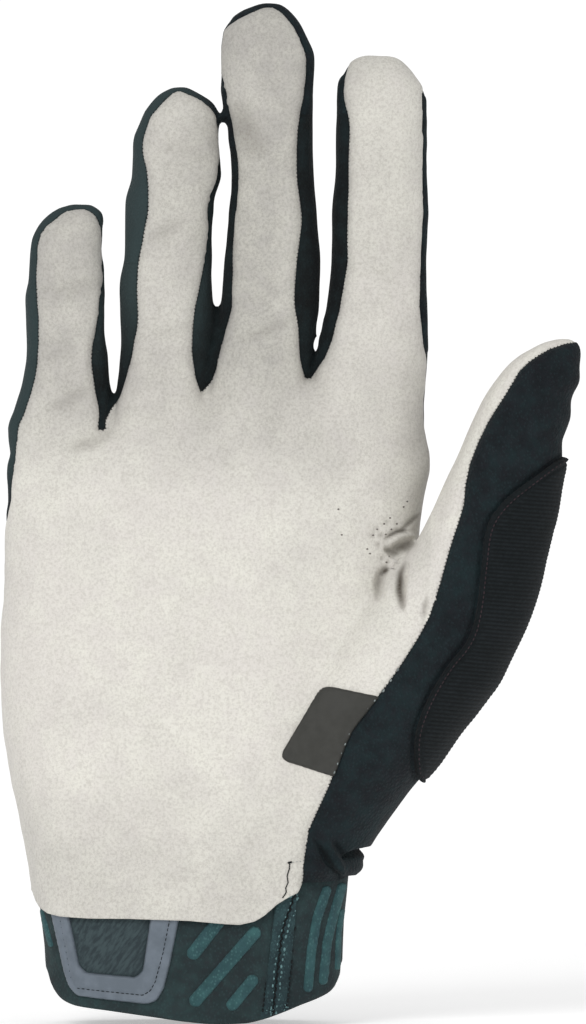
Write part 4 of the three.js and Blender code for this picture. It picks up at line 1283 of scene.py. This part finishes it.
def makeCuff():
    bm = bmesh.new()
    edges, turns = firstRing(bm, cuff["sides"], capped=False)
    sections = np.array(cuff["sections"])
    for number in range(cuff["rows"]):
        share = number / (cuff["rows"] - 1)
        if number:
            edges, turns = nextRing(bm, edges, turns)
        angle = np.array(list(turns.values()))
        across = np.sign(np.cos(angle)) * np.abs(np.cos(angle)) ** (2 / glove["palmRoundness"])
        through = np.sign(np.sin(angle)) * np.abs(np.sin(angle)) ** (2 / glove["palmRoundness"])
        height = np.full(len(angle), 8.0)
        for _ in range(3):   # the width and the height of a point depend on each other
            left, right, front, back = (np.interp(height, sections[:, 0], sections[:, i])
                                        for i in (1, 2, 3, 4))
            x = (left + right) / 2 + across * (right - left) / 2
            low = columnAt(cuff["rim"], 1, x)
            height = low + (cuff["top"] - low) * share
        y = through * np.where(through > 0, back, front)
        for vert, point in zip(turns, np.stack([x, y, height], 1)):
            vert.co = point
    bm.normal_update()
    bmesh.ops.recalc_face_normals(bm, faces=bm.faces)
    places, outward = coordinates(bm), normals(bm)
    above = places[:, 2] - columnAt(cuff["rim"], 1, places[:, 0])
    push = cuff["edge"] * np.exp(-(above / cuff["edgeWide"]) ** 2)
    uneven = swell(places * (1, 1, 0.5), cuff["swellSize"], 2.0)
    push += cuff["swell"] * uneven * smoothStep(*cuff["swellFrom"], above)
    moveTo(bm, places - outward * push[:, None])
    return bm


cuffSkin = makeCuff()
cuffSurface = BVHTree.FromBMesh(cuffSkin)


# A thin piece laid on a surface: a grid seen from the palm, cut to its outline and pressed on from the front.
# rise gives its height over the surface from the distance to its own edge.
def layPatch(surface, field, box, step, rise):
    (left, low), (right, high) = box
    across, up = max(int((right - left) / step), 2), max(int((high - low) / step), 2)
    bm = bmesh.new()
    stand = Matrix.Translation(((left + right) / 2, -farAway, (low + high) / 2))
    stand = stand @ Matrix.Rotation(math.pi / 2, 4, "X")
    shape = Matrix.Diagonal(((right - left) / 2, (high - low) / 2, 1, 1))
    bmesh.ops.create_grid(bm, x_segments=across, y_segments=up, size=1, matrix=stand @ shape)
    cutAlong(bm, field, near=step * 0.2)
    outside = [face for face, value in zip(bm.faces, field(centres(bm))) if value > 0]
    bmesh.ops.delete(bm, geom=outside, context="FACES")
    missed, landed = [], []
    for vert, value in zip(bm.verts, np.maximum(-field(coordinates(bm)), 0)):
        hit = surface.ray_cast(vert.co, Vector((0, 1, 0)))[0]
        if hit is None:
            missed.append(vert)
        else:
            vert.co = hit
            landed.append(value)
    bmesh.ops.delete(bm, geom=missed, context="VERTS")
    inside = np.array(landed)
    relax(bm, np.where(inside > 0.05, 0.4, 0), 2)   # its edge is held
    bm.normal_update()
    if sum(face.normal.y for face in bm.faces) > 0:
        bmesh.ops.reverse_faces(bm, faces=bm.faces)
        bm.normal_update()
    places, outward = coordinates(bm), normals(bm)
    moveTo(bm, places + outward * rise(inside)[:, None])
    return bm


# Height of a piece whose edge is rounded over: it starts just under the surface
def roundedRise(thickness, reach, under=0.12):
    def rise(inside):
        share = np.clip(inside / reach, 0, 1)
        return -under + (thickness + under) * np.sqrt(1 - (1 - share) ** 2)

    return rise


# Presses grooves into a piece. Each has its line, its depth and its width.
def pressGrooves(bm, grooves, uneven=0.0):
    places = coordinates(bm)
    push = np.zeros(len(places))
    for line, deep, wide in grooves:
        push += deep * np.exp(-(lineDistance(places, line) / wide) ** 2)
    if uneven:
        push += uneven * swell(places, 1.3, 7.0)
    moveTo(bm, places - normals(bm) * push[:, None])


# The soft rubber frame that the cuff is pulled by
pullFrame = {
    "outer": [(-31.6, 29.5), (-30.5, 23.1), (-27.95, 11.5), (-26.9, 8.3), (-25.2, 6.25), (-17.0, 5.35),
              (-9.9, 4.6), (-7.7, 5.4), (-6.2, 7.9), (-4.85, 13.1), (-3.05, 21.9), (-1.7, 29.5)],
    "inner": [(-28.2, 31.5), (-26.7, 22.7), (-24.6, 12.9), (-23.1, 11.5), (-12.3, 10.6), (-10.8, 12.0),
              (-9.3, 22.3), (-7.9, 31.5)],
    "corner": 0.8, "innerCorner": 0.6, "thickness": 0.9, "edge": 0.6, "wall": 0.3, "step": 0.33,
    "line": [(-29.0, 23.4), (-28.8, 21.1), (-26.6, 10.3), (-25.6, 8.2), (-24.6, 7.9), (-10.9, 6.65),
             (-9.3, 7.4), (-8.1, 9.4), (-6.3, 16.0), (-4.9, 23.4)],
    "groove": 0.3, "grooveWide": 0.32, "dashes": [(-24.9, 7.95), (-10.9, 6.65)],
    "rightDashes": [(-10.9, 6.65), (-9.3, 7.4), (-8.1, 9.4), (-6.3, 16.0), (-4.9, 23.0)],
    "leftDashes": [(-28.9, 22.5), (-26.6, 10.3)],
}


def frameField(places):
    outer = outlineDistance(places, rounded(pullFrame["outer"], pullFrame["corner"]))
    inner = outlineDistance(places, rounded(pullFrame["inner"], pullFrame["innerCorner"]))
    return np.maximum(outer, -inner)


def markStreaks(bm):
    layer = bm.verts.layers.float.new("streak")
    places = coordinates(bm)
    inside = -outlineDistance(places, pullFrame["inner"]) * (places[:, 1] < 0)
    for vert, value in zip(bm.verts, smoothStep(-0.6, 0.6, inside) * (places[:, 1] < 0)):
        vert[layer] = float(value)


markStreaks(cuffSkin)
finishPiece(cuffSkin, "cuff_knit", materials["cuffKnit"], ["cuff_band"], cuff["wall"])
framePatch = layPatch(cuffSurface, frameField, ((-33, 3), (0, 28.5)), pullFrame["step"],
                      roundedRise(pullFrame["thickness"], pullFrame["edge"]))
pressGrooves(framePatch, [(pullFrame["line"], pullFrame["groove"], pullFrame["grooveWide"])])
frameSurface = BVHTree.FromBMesh(framePatch)
finishPiece(framePatch, "pull_frame", materials["frameRubber"], ["cuff_pull_frame"],
            pullFrame["wall"])


# The tape over the cuff's seam, sewn down along both sides. tufts are spots with loose ends of thread.
tape = {
    "corners": [(17.9, 28.6), (17.5, 24.0), (15.3, 4.0), (14.6, 1.2), (21.1, 3.2), (21.2, 6.0), (23.4, 29.4)],
    "corner": 0.5, "thickness": 0.6, "edge": 0.5, "wall": 0.3, "step": 0.36, "uneven": 0.1,
    "seam": [(22.2, 28.2), (21.4, 25.4), (20.1, 22.0), (19.4, 18.4), (18.6, 11.7), (17.6, 2.4)],
    "leftLine": [(17.5, 25.6), (15.5, 3.2)], "rightLine": [(23.0, 27.0), (20.7, 4.2)],
    "seamGroove": (0.5, 0.4), "sideGroove": (0.3, 0.35),   # depth, width
    "tufts": [(17.0, 3.0, 6), (20.4, 3.9, 4), (21.4, 28.0, 5), (22.8, 28.4, 3)],   # x, z, count
}


def tapeField(places):
    return outlineDistance(places, rounded(tape["corners"], tape["corner"]))


tapePatch = layPatch(cuffSurface, tapeField, ((14, 0), (24, 30)), tape["step"],
                     roundedRise(tape["thickness"], tape["edge"]))
pressGrooves(tapePatch, [(tape["seam"], *tape["seamGroove"]), (tape["leftLine"], *tape["sideGroove"]),
                         (tape["rightLine"], *tape["sideGroove"])], tape["uneven"])
tapeSurface = BVHTree.FromBMesh(tapePatch)
finishPiece(tapePatch, "seam_tape", materials["tapeCloth"], ["cuff_seam_tape"], tape["wall"])

# Flocked stripes on the cuff: their lines and their width. side is the y that none of them goes behind.
stripes = {
    "lines": [([(6.6, 23.9), (-0.6, 14.6)], 3.1), ([(14.6, 21.3), (-0.2, 4.4)], 3.0),
              ([(14.0, 10.8), (7.9, 3.5)], 2.8),
              ([(29.7, 30.3), (27.2, 23.0), (26.1, 16.5), (25.2, 7.0)], 2.2),
              ([(33.0, 30.8), (30.9, 23.8), (29.5, 18.0), (28.5, 8.5)], 2.15),
              ([(32.9, 25.0), (32.0, 20.0), (31.7, 11.5)], 1.3),
              ([(-33.4, 24.9), (-30.9, 16.6)], 1.3)],
    "thickness": 0.38, "edge": 0.5, "under": 0.1, "wall": 0.25, "step": 0.3, "side": -4.0,
    "uneven": 0.06, "unevenSize": 0.9,
}


def makeStripe(number, points, width):
    ends = [np.array(points[0]), np.array(points[-1])]
    inwards = [np.array(points[1]) - ends[0], np.array(points[-2]) - ends[1]]
    line = [end + way / np.linalg.norm(way) * width / 2 for end, way in zip(ends, inwards)]
    line = [tuple(line[0])] + points[1:-1] + [tuple(line[1])]

    def field(places):
        return lineDistance(places, line) - width / 2

    low = np.minimum(*ends) - width
    high = np.maximum(*ends) + width
    bm = layPatch(cuffSurface, field, (tuple(low), tuple(high)), stripes["step"],
                  roundedRise(stripes["thickness"], stripes["edge"], stripes["under"]))
    uneven = stripes["uneven"] * swell(coordinates(bm), stripes["unevenSize"], number)
    moveTo(bm, coordinates(bm) + normals(bm) * uneven[:, None])
    cutAlong(bm, lambda places: places[:, 1] - stripes["side"])
    beyond = [face for face, place in zip(bm.faces, centres(bm)) if place[1] > stripes["side"]]
    bmesh.ops.delete(bm, geom=beyond, context="FACES")
    finishPiece(bm, f"cuff_stripe_{number}", materials["stripeFlock"], (), stripes["wall"])


for number, (points, width) in enumerate(stripes["lines"]):
    makeStripe(number, points, width)
print("stage: cuff done")


# The bare label on the palm: its right edge is caught in the thumb's seam
label = {"corners": [(28.4, 74.4), (45.0, 71.0), (36.0, 52.6), (18.7, 58.1)], "corner": 2.4,
         "thickness": 0.65, "edge": 0.45, "wall": 0.3, "step": 0.5, "underSeam": 0.35,
         "sewn": (55.2, 71.6), "above": (72.8, 78.6)}


def labelField(places):
    return np.maximum(outlineDistance(places, rounded(label["corners"], label["corner"])),
                      -label["underSeam"] - thumbField(places))


labelPatch = layPatch(handSurface, labelField, ((17, 51), (46, 76)), label["step"],
                      roundedRise(label["thickness"], label["edge"]))
finishPiece(labelPatch, "palm_tag", materials["labelRubber"], ["palm_label"], label["wall"])


def wipeField(places):
    up = thumbUp(places[:, 2])
    behind = places[:, 1] - thumbY(up) - wipe["backShare"] * thumb["depth"]
    return np.maximum(outlineDistance(places, wipeOutline), behind)


def makeWipe():
    low, high = thumbZ(wipe["low"]), thumbZ(wipe["high"])
    rows = int((high - low) / wipe["rowStep"])
    bm = bmesh.new()
    bmesh.ops.create_grid(bm, x_segments=wipe["columns"], y_segments=rows, size=1)
    for vert in bm.verts:
        angle = math.radians(np.interp(vert.co.x, [-1, 1], [wipe["fromAngle"], wipe["toAngle"]]))
        z = float(np.interp(vert.co.y, [-1, 1], [low, high]))
        up = thumbUp(z)
        middle = Vector((thumbX(up), float(thumbY(up)), z))
        away = Vector((math.cos(angle), math.sin(angle), 0))
        hit = handSurface.ray_cast(middle, away)[0]
        vert.co = hit if hit is not None else middle + away * thumb["depth"] / 2
    relax(bm, 0.4, 2)
    cutAlong(bm, wipeField, near=0.06)
    outside = [face for face, value in zip(bm.faces, wipeField(centres(bm))) if value > 0]
    bmesh.ops.delete(bm, geom=outside, context="FACES")
    bmesh.ops.recalc_face_normals(bm, faces=bm.faces)
    bm.normal_update()
    if sum(face.normal.x for face in bm.faces) < 0:
        bmesh.ops.reverse_faces(bm, faces=bm.faces)
        bm.normal_update()
    border = {vert for edge in bm.edges if len(edge.link_faces) == 1 for vert in edge.verts}
    tree = KDTree(len(border))
    for i, vert in enumerate(border):
        tree.insert(vert.co, i)
    tree.balance()
    inside = np.array([tree.find(vert.co)[2] for vert in bm.verts])
    places, outward = coordinates(bm), normals(bm)
    lift = roundedRise(wipe["thickness"], wipe["rounding"], wipe["under"])(inside)
    lift += wipe["piping"] * np.exp(-((inside - wipe["pipingIn"]) / wipe["pipingWide"]) ** 2)
    lift -= wipe["channel"] * np.exp(-((inside - wipe["channelIn"]) / wipe["channelWide"]) ** 2)
    ribs = np.cos(2 * math.pi * (places[:, 2] + wipe["ribSlant"] * places[:, 0]) / wipe["ribPitch"])
    ribs *= smoothStep(*wipe["ribFrom"], inside)
    lift += wipe["ribHeight"] * ribs
    lift += wipe["nap"] * swell(places, wipe["napSize"], 8.0)
    moveTo(bm, places + outward * lift[:, None])
    # A layer that is 1 in the grooves between the ribs: there the terry gets painted shade
    layer = bm.verts.layers.float.new("grooveShade")
    for vert, value in zip(bm.verts, 0.5 - 0.5 * ribs):
        vert[layer] = float(value)
    return bm


wipeSkin = makeWipe()
wipeSurface = BVHTree.FromBMesh(wipeSkin)
wipePad = finishPiece(wipeSkin, "thumb_wipe_terry", materials["terry"], ["thumb_wipe"], wipe["wall"])
print("stage: label and wipe done")


# Stitches by kind: how far apart, how long, wide and thick, and how far out over the surface
stitches = {
    "hole": {"pitch": 0.2, "size": (0.46, 0.4, 0.16), "out": 0.0},
    "tapeSide": {"pitch": 1.15, "size": (1.0, 0.6, 0.36), "out": 0.12},
    "tapeZigzag": {"pitch": 0.45, "size": (0.6, 0.55, 0.38), "out": 0.05},
    "tuft": {"pitch": 0.4, "size": (0.55, 0.22, 0.2), "out": 0.2},
    "frame": {"pitch": 1.05, "size": (0.95, 0.26, 0.22), "out": 0.0},
    "frameLeft": {"pitch": 1.3, "size": (0.5, 0.16, 0.16), "out": -0.04},
    "tackThread": {"pitch": 0.42, "size": (0.62, 0.32, 0.3), "out": 0.1},
    "tackKnot": {"pitch": 0.25, "size": (0.6, 0.5, 0.45), "out": 0.1},
    "tackDash": {"pitch": 0.75, "size": (0.42, 0.18, 0.16), "out": 0.05},
    "labelSewn": {"pitch": 2.2, "size": (0.75, 0.42, 0.34), "out": 0.62, "loose": 0.15},
    "labelAbove": {"pitch": 2.2, "size": (0.75, 0.42, 0.34), "out": 0.2, "loose": 0.15},
    "wipe": {"pitch": 1.05, "size": (0.9, 0.32, 0.26), "out": 0.04},
}
# Uneven light stitches beside the tape's seam: rows by how far to the side, how far down, pitch and size
lightStitches = {"rows": [(-0.6, 0.0, 1.5, 0.75), (0.75, 0.7, 1.2, 0.8), (-3.0, 0.4, 2.1, 0.4)],
                 "flat": 0.6, "thick": 0.34, "out": 0.08, "loose": 0.22}
# The loose thread beside the palm's hem, with a short row of grey stitches at its top
tack = {"thread": [(21.3, 35.5), (21.2, 34.2), (20.7, 32.6), (20.9, 31.2), (20.4, 30.0), (20.5, 29.0),
                   (19.8, 28.0)],
        "dashes": [(22.0, 35.6), (24.4, 35.8)]}
zigzag = {"points": 34, "wide": 0.25}
tuft = {"shortest": 0.3, "longest": 0.8}
wipeSeamIn = 1.1


# Threads laid on a surface along a line seen from the palm
def sewLine(bm, surface, line, pitch, size, out, loose=0.0):
    points = np.array(line, float)
    steps = np.linalg.norm(np.diff(points, axis=0), axis=1)
    along = np.concatenate([[0], np.cumsum(steps)])
    count = max(int(along[-1] / pitch), 1)
    places, facing = [], []
    for at in np.linspace(0, along[-1], count + 1):
        x, z = (float(np.interp(at, along, points[:, i])) + luck.uniform(-loose, loose) for i in (0, 1))
        hit, normal = surface.ray_cast(Vector((x, -farAway, z)), Vector((0, 1, 0)))[:2]
        if hit is None:
            continue
        places.append(hit)
        facing.append(normal if normal.y < 0 else -normal)
    for i, (place, normal) in enumerate(zip(places, facing)):
        ahead = places[min(i + 1, len(places) - 1)] - places[max(i - 1, 0)]
        grow = 1 + luck.uniform(-2, 1.5) * loose
        if ahead.length > 0:
            bead = (size[0] * grow, size[1] * grow, size[2])
            addStitch(bm, place + normal * out, normal, ahead.normalized(), bead, False)


# An outline moved inwards by a distance, where it is seen from the palm
def insetLine(outline, distance):
    points = np.array(outline)
    ahead = np.roll(points, -1, axis=0) - np.roll(points, 1, axis=0)
    ahead /= np.maximum(np.linalg.norm(ahead, axis=1), 1e-9)[:, None]
    sideways = np.stack([ahead[:, 1], -ahead[:, 0]], 1) * distance
    moved = points + sideways
    test = np.stack([moved[:, 0], np.zeros(len(moved)), moved[:, 1]], 1)
    if outlineDistance(test, outline).mean() > 0:
        moved = points - sideways
    return [tuple(point) for point in moved]


# Loose ends of thread that stand out in all directions from one spot
def addTuft(bm, surface, x, z, count):
    for _ in range(count):
        angle = luck.uniform(0, 2 * math.pi)
        far = luck.uniform(tuft["shortest"], tuft["longest"])
        end = (x + far * math.cos(angle), z + far * math.sin(angle))
        sewLine(bm, surface, [(x, z), end], **stitches["tuft"])


def makeStitches():
    dark, light, grey, brown, holes = (bmesh.new() for _ in range(5))
    # Beads at the needle holes, painted shade of the puckered holes
    for x, z in puckers["holes"]:
        sewLine(holes, handSurface, [(x, z), (x + 0.1, z)], **stitches["hole"])
    for line in (tape["leftLine"], tape["rightLine"]):
        sewLine(dark, tapeSurface, line, **stitches["tapeSide"])
    seamX, seamZ = np.array(tape["seam"])[::-1].T
    heights = np.linspace(seamZ[-1], seamZ[0], zigzag["points"])
    line = [(np.interp(z, seamZ, seamX) + zigzag["wide"] * (-1) ** i, z) for i, z in enumerate(heights)]
    sewLine(dark, tapeSurface, line, **stitches["tapeZigzag"])
    for side, down, pitch, size in lightStitches["rows"]:
        line = [(x + side, z - down) for x, z in tape["seam"]]
        bead = (size, size * lightStitches["flat"], lightStitches["thick"])
        sewLine(light, tapeSurface, line, pitch, bead, lightStitches["out"], lightStitches["loose"])
    for x, z, count in tape["tufts"]:
        addTuft(light, tapeSurface, x, z, count)
    for name in ("dashes", "rightDashes"):
        sewLine(dark, frameSurface, pullFrame[name], **stitches["frame"])
    sewLine(dark, frameSurface, pullFrame["leftDashes"], **stitches["frameLeft"])
    sewLine(dark, handSurface, tack["thread"], **stitches["tackThread"])
    x, z = tack["thread"][0]
    sewLine(dark, handSurface, [(x - 0.25, z), (x + 0.25, z + 0.1)], **stitches["tackKnot"])
    sewLine(grey, handSurface, tack["dashes"], **stitches["tackDash"])
    for (low, high), name in ((label["sewn"], "labelSewn"), (label["above"], "labelAbove")):
        line = [(x + 0.1, z) for x, z in thumbSeamLine() if low < z < high]
        sewLine(grey, handSurface, line, **stitches[name])
    sewLine(brown, wipeSurface, insetLine(wipeOutline, wipeSeamIn), **stitches["wipe"])
    finishPiece(dark, "stitches_dark", materials["darkThread"])
    finishPiece(light, "tape_stitches_light", materials["lightThread"])
    finishPiece(grey, "stitches_grey", materials["greyThread"])
    finishPiece(brown, "wipe_stitches", materials["brownThread"])
    finishPiece(holes, "palm_needle_holes", materials["needleHoleShade"])


makeStitches()
print("stage: stitches done")


# The white floor and room, with their brightness, and the two lamps
studio = {
    "floorSize": 0.42, "floorZ": -0.0005, "floorGlow": 0.42, "backdrop": 1.05, "soft": 0.53,
    "aim": (0.01, 0, 0.11),
    "lamps": {"keyLight": {"place": (-0.6, -1.3, 1.0), "size": 0.8, "power": 11.4},
              "fillLight": {"place": (1.1, -1.2, 0.3), "size": 1.0, "power": 3.5}},
}


def makeFloor():
    bm = bmesh.new()
    bmesh.ops.create_grid(bm, x_segments=1, y_segments=1, size=studio["floorSize"])
    mesh = bpy.data.meshes.new("studioFloor")
    bm.to_mesh(mesh)
    bm.free()
    floor = bpy.data.objects.new("studioFloor", mesh)
    bpy.context.scene.collection.objects.link(floor)
    floor.location.z = studio["floorZ"]
    material, _, shader, _ = newMaterial("paleFloor", 0.9)
    shader.inputs["Base Color"].default_value = (0.9, 0.9, 0.9, 1)
    shader.inputs["Emission Color"].default_value = (1, 1, 1, 1)
    shader.inputs["Emission Strength"].default_value = studio["floorGlow"]
    mesh.materials.append(material)


def makeLamp(name, place, size, power):
    data = bpy.data.lights.new(name, "AREA")
    data.shape = "DISK"
    data.size = size
    data.energy = power
    lamp = bpy.data.objects.new(name, data)
    lamp.location = place
    lamp.rotation_euler = (Vector(studio["aim"]) - Vector(place)).to_track_quat("-Z", "Y").to_euler()
    bpy.context.scene.collection.objects.link(lamp)


camera = {"distance": 2.2, "x": 0.022, "z": 0.112, "frameHeight": 0.2253, "sensor": 36.0}


def makeCamera():
    data = bpy.data.cameras.new("photoCamera")
    data.sensor_width = camera["sensor"]
    data.lens = camera["sensor"] * camera["distance"] / camera["frameHeight"]
    view = bpy.data.objects.new("photoCamera", data)
    view.location = (camera["x"], -camera["distance"], camera["z"])
    view.rotation_euler = (math.pi / 2, 0, 0)
    bpy.context.scene.collection.objects.link(view)
    bpy.context.scene.camera = view


# A pale room: it lights the glove softly, and shows as a white backdrop
def makeWorld():
    world = bpy.data.worlds.new("paleRoom")
    world.use_nodes = True
    tree = world.node_tree
    backdrop = tree.nodes["Background"]
    backdrop.inputs["Strength"].default_value = studio["backdrop"]
    soft = addNode(tree, "ShaderNodeBackground", None, {"Color": (1, 1, 1, 1), "Strength": studio["soft"]})
    seen = addNode(tree, "ShaderNodeLightPath").outputs["Is Camera Ray"]
    backdrop.inputs["Color"].default_value = (1, 1, 1, 1)
    mixed = addNode(tree, "ShaderNodeMixShader", None,
                    {0: seen, 1: soft.outputs[0], 2: backdrop.outputs[0]})
    tree.links.new(mixed.outputs[0], tree.nodes["World Output"].inputs[0])
    bpy.context.scene.world = world


makeFloor()
makeWorld()
bpy.context.scene.view_settings.view_transform = "Standard"
for name, lamp in studio["lamps"].items():
    makeLamp(name, **lamp)
makeCamera()
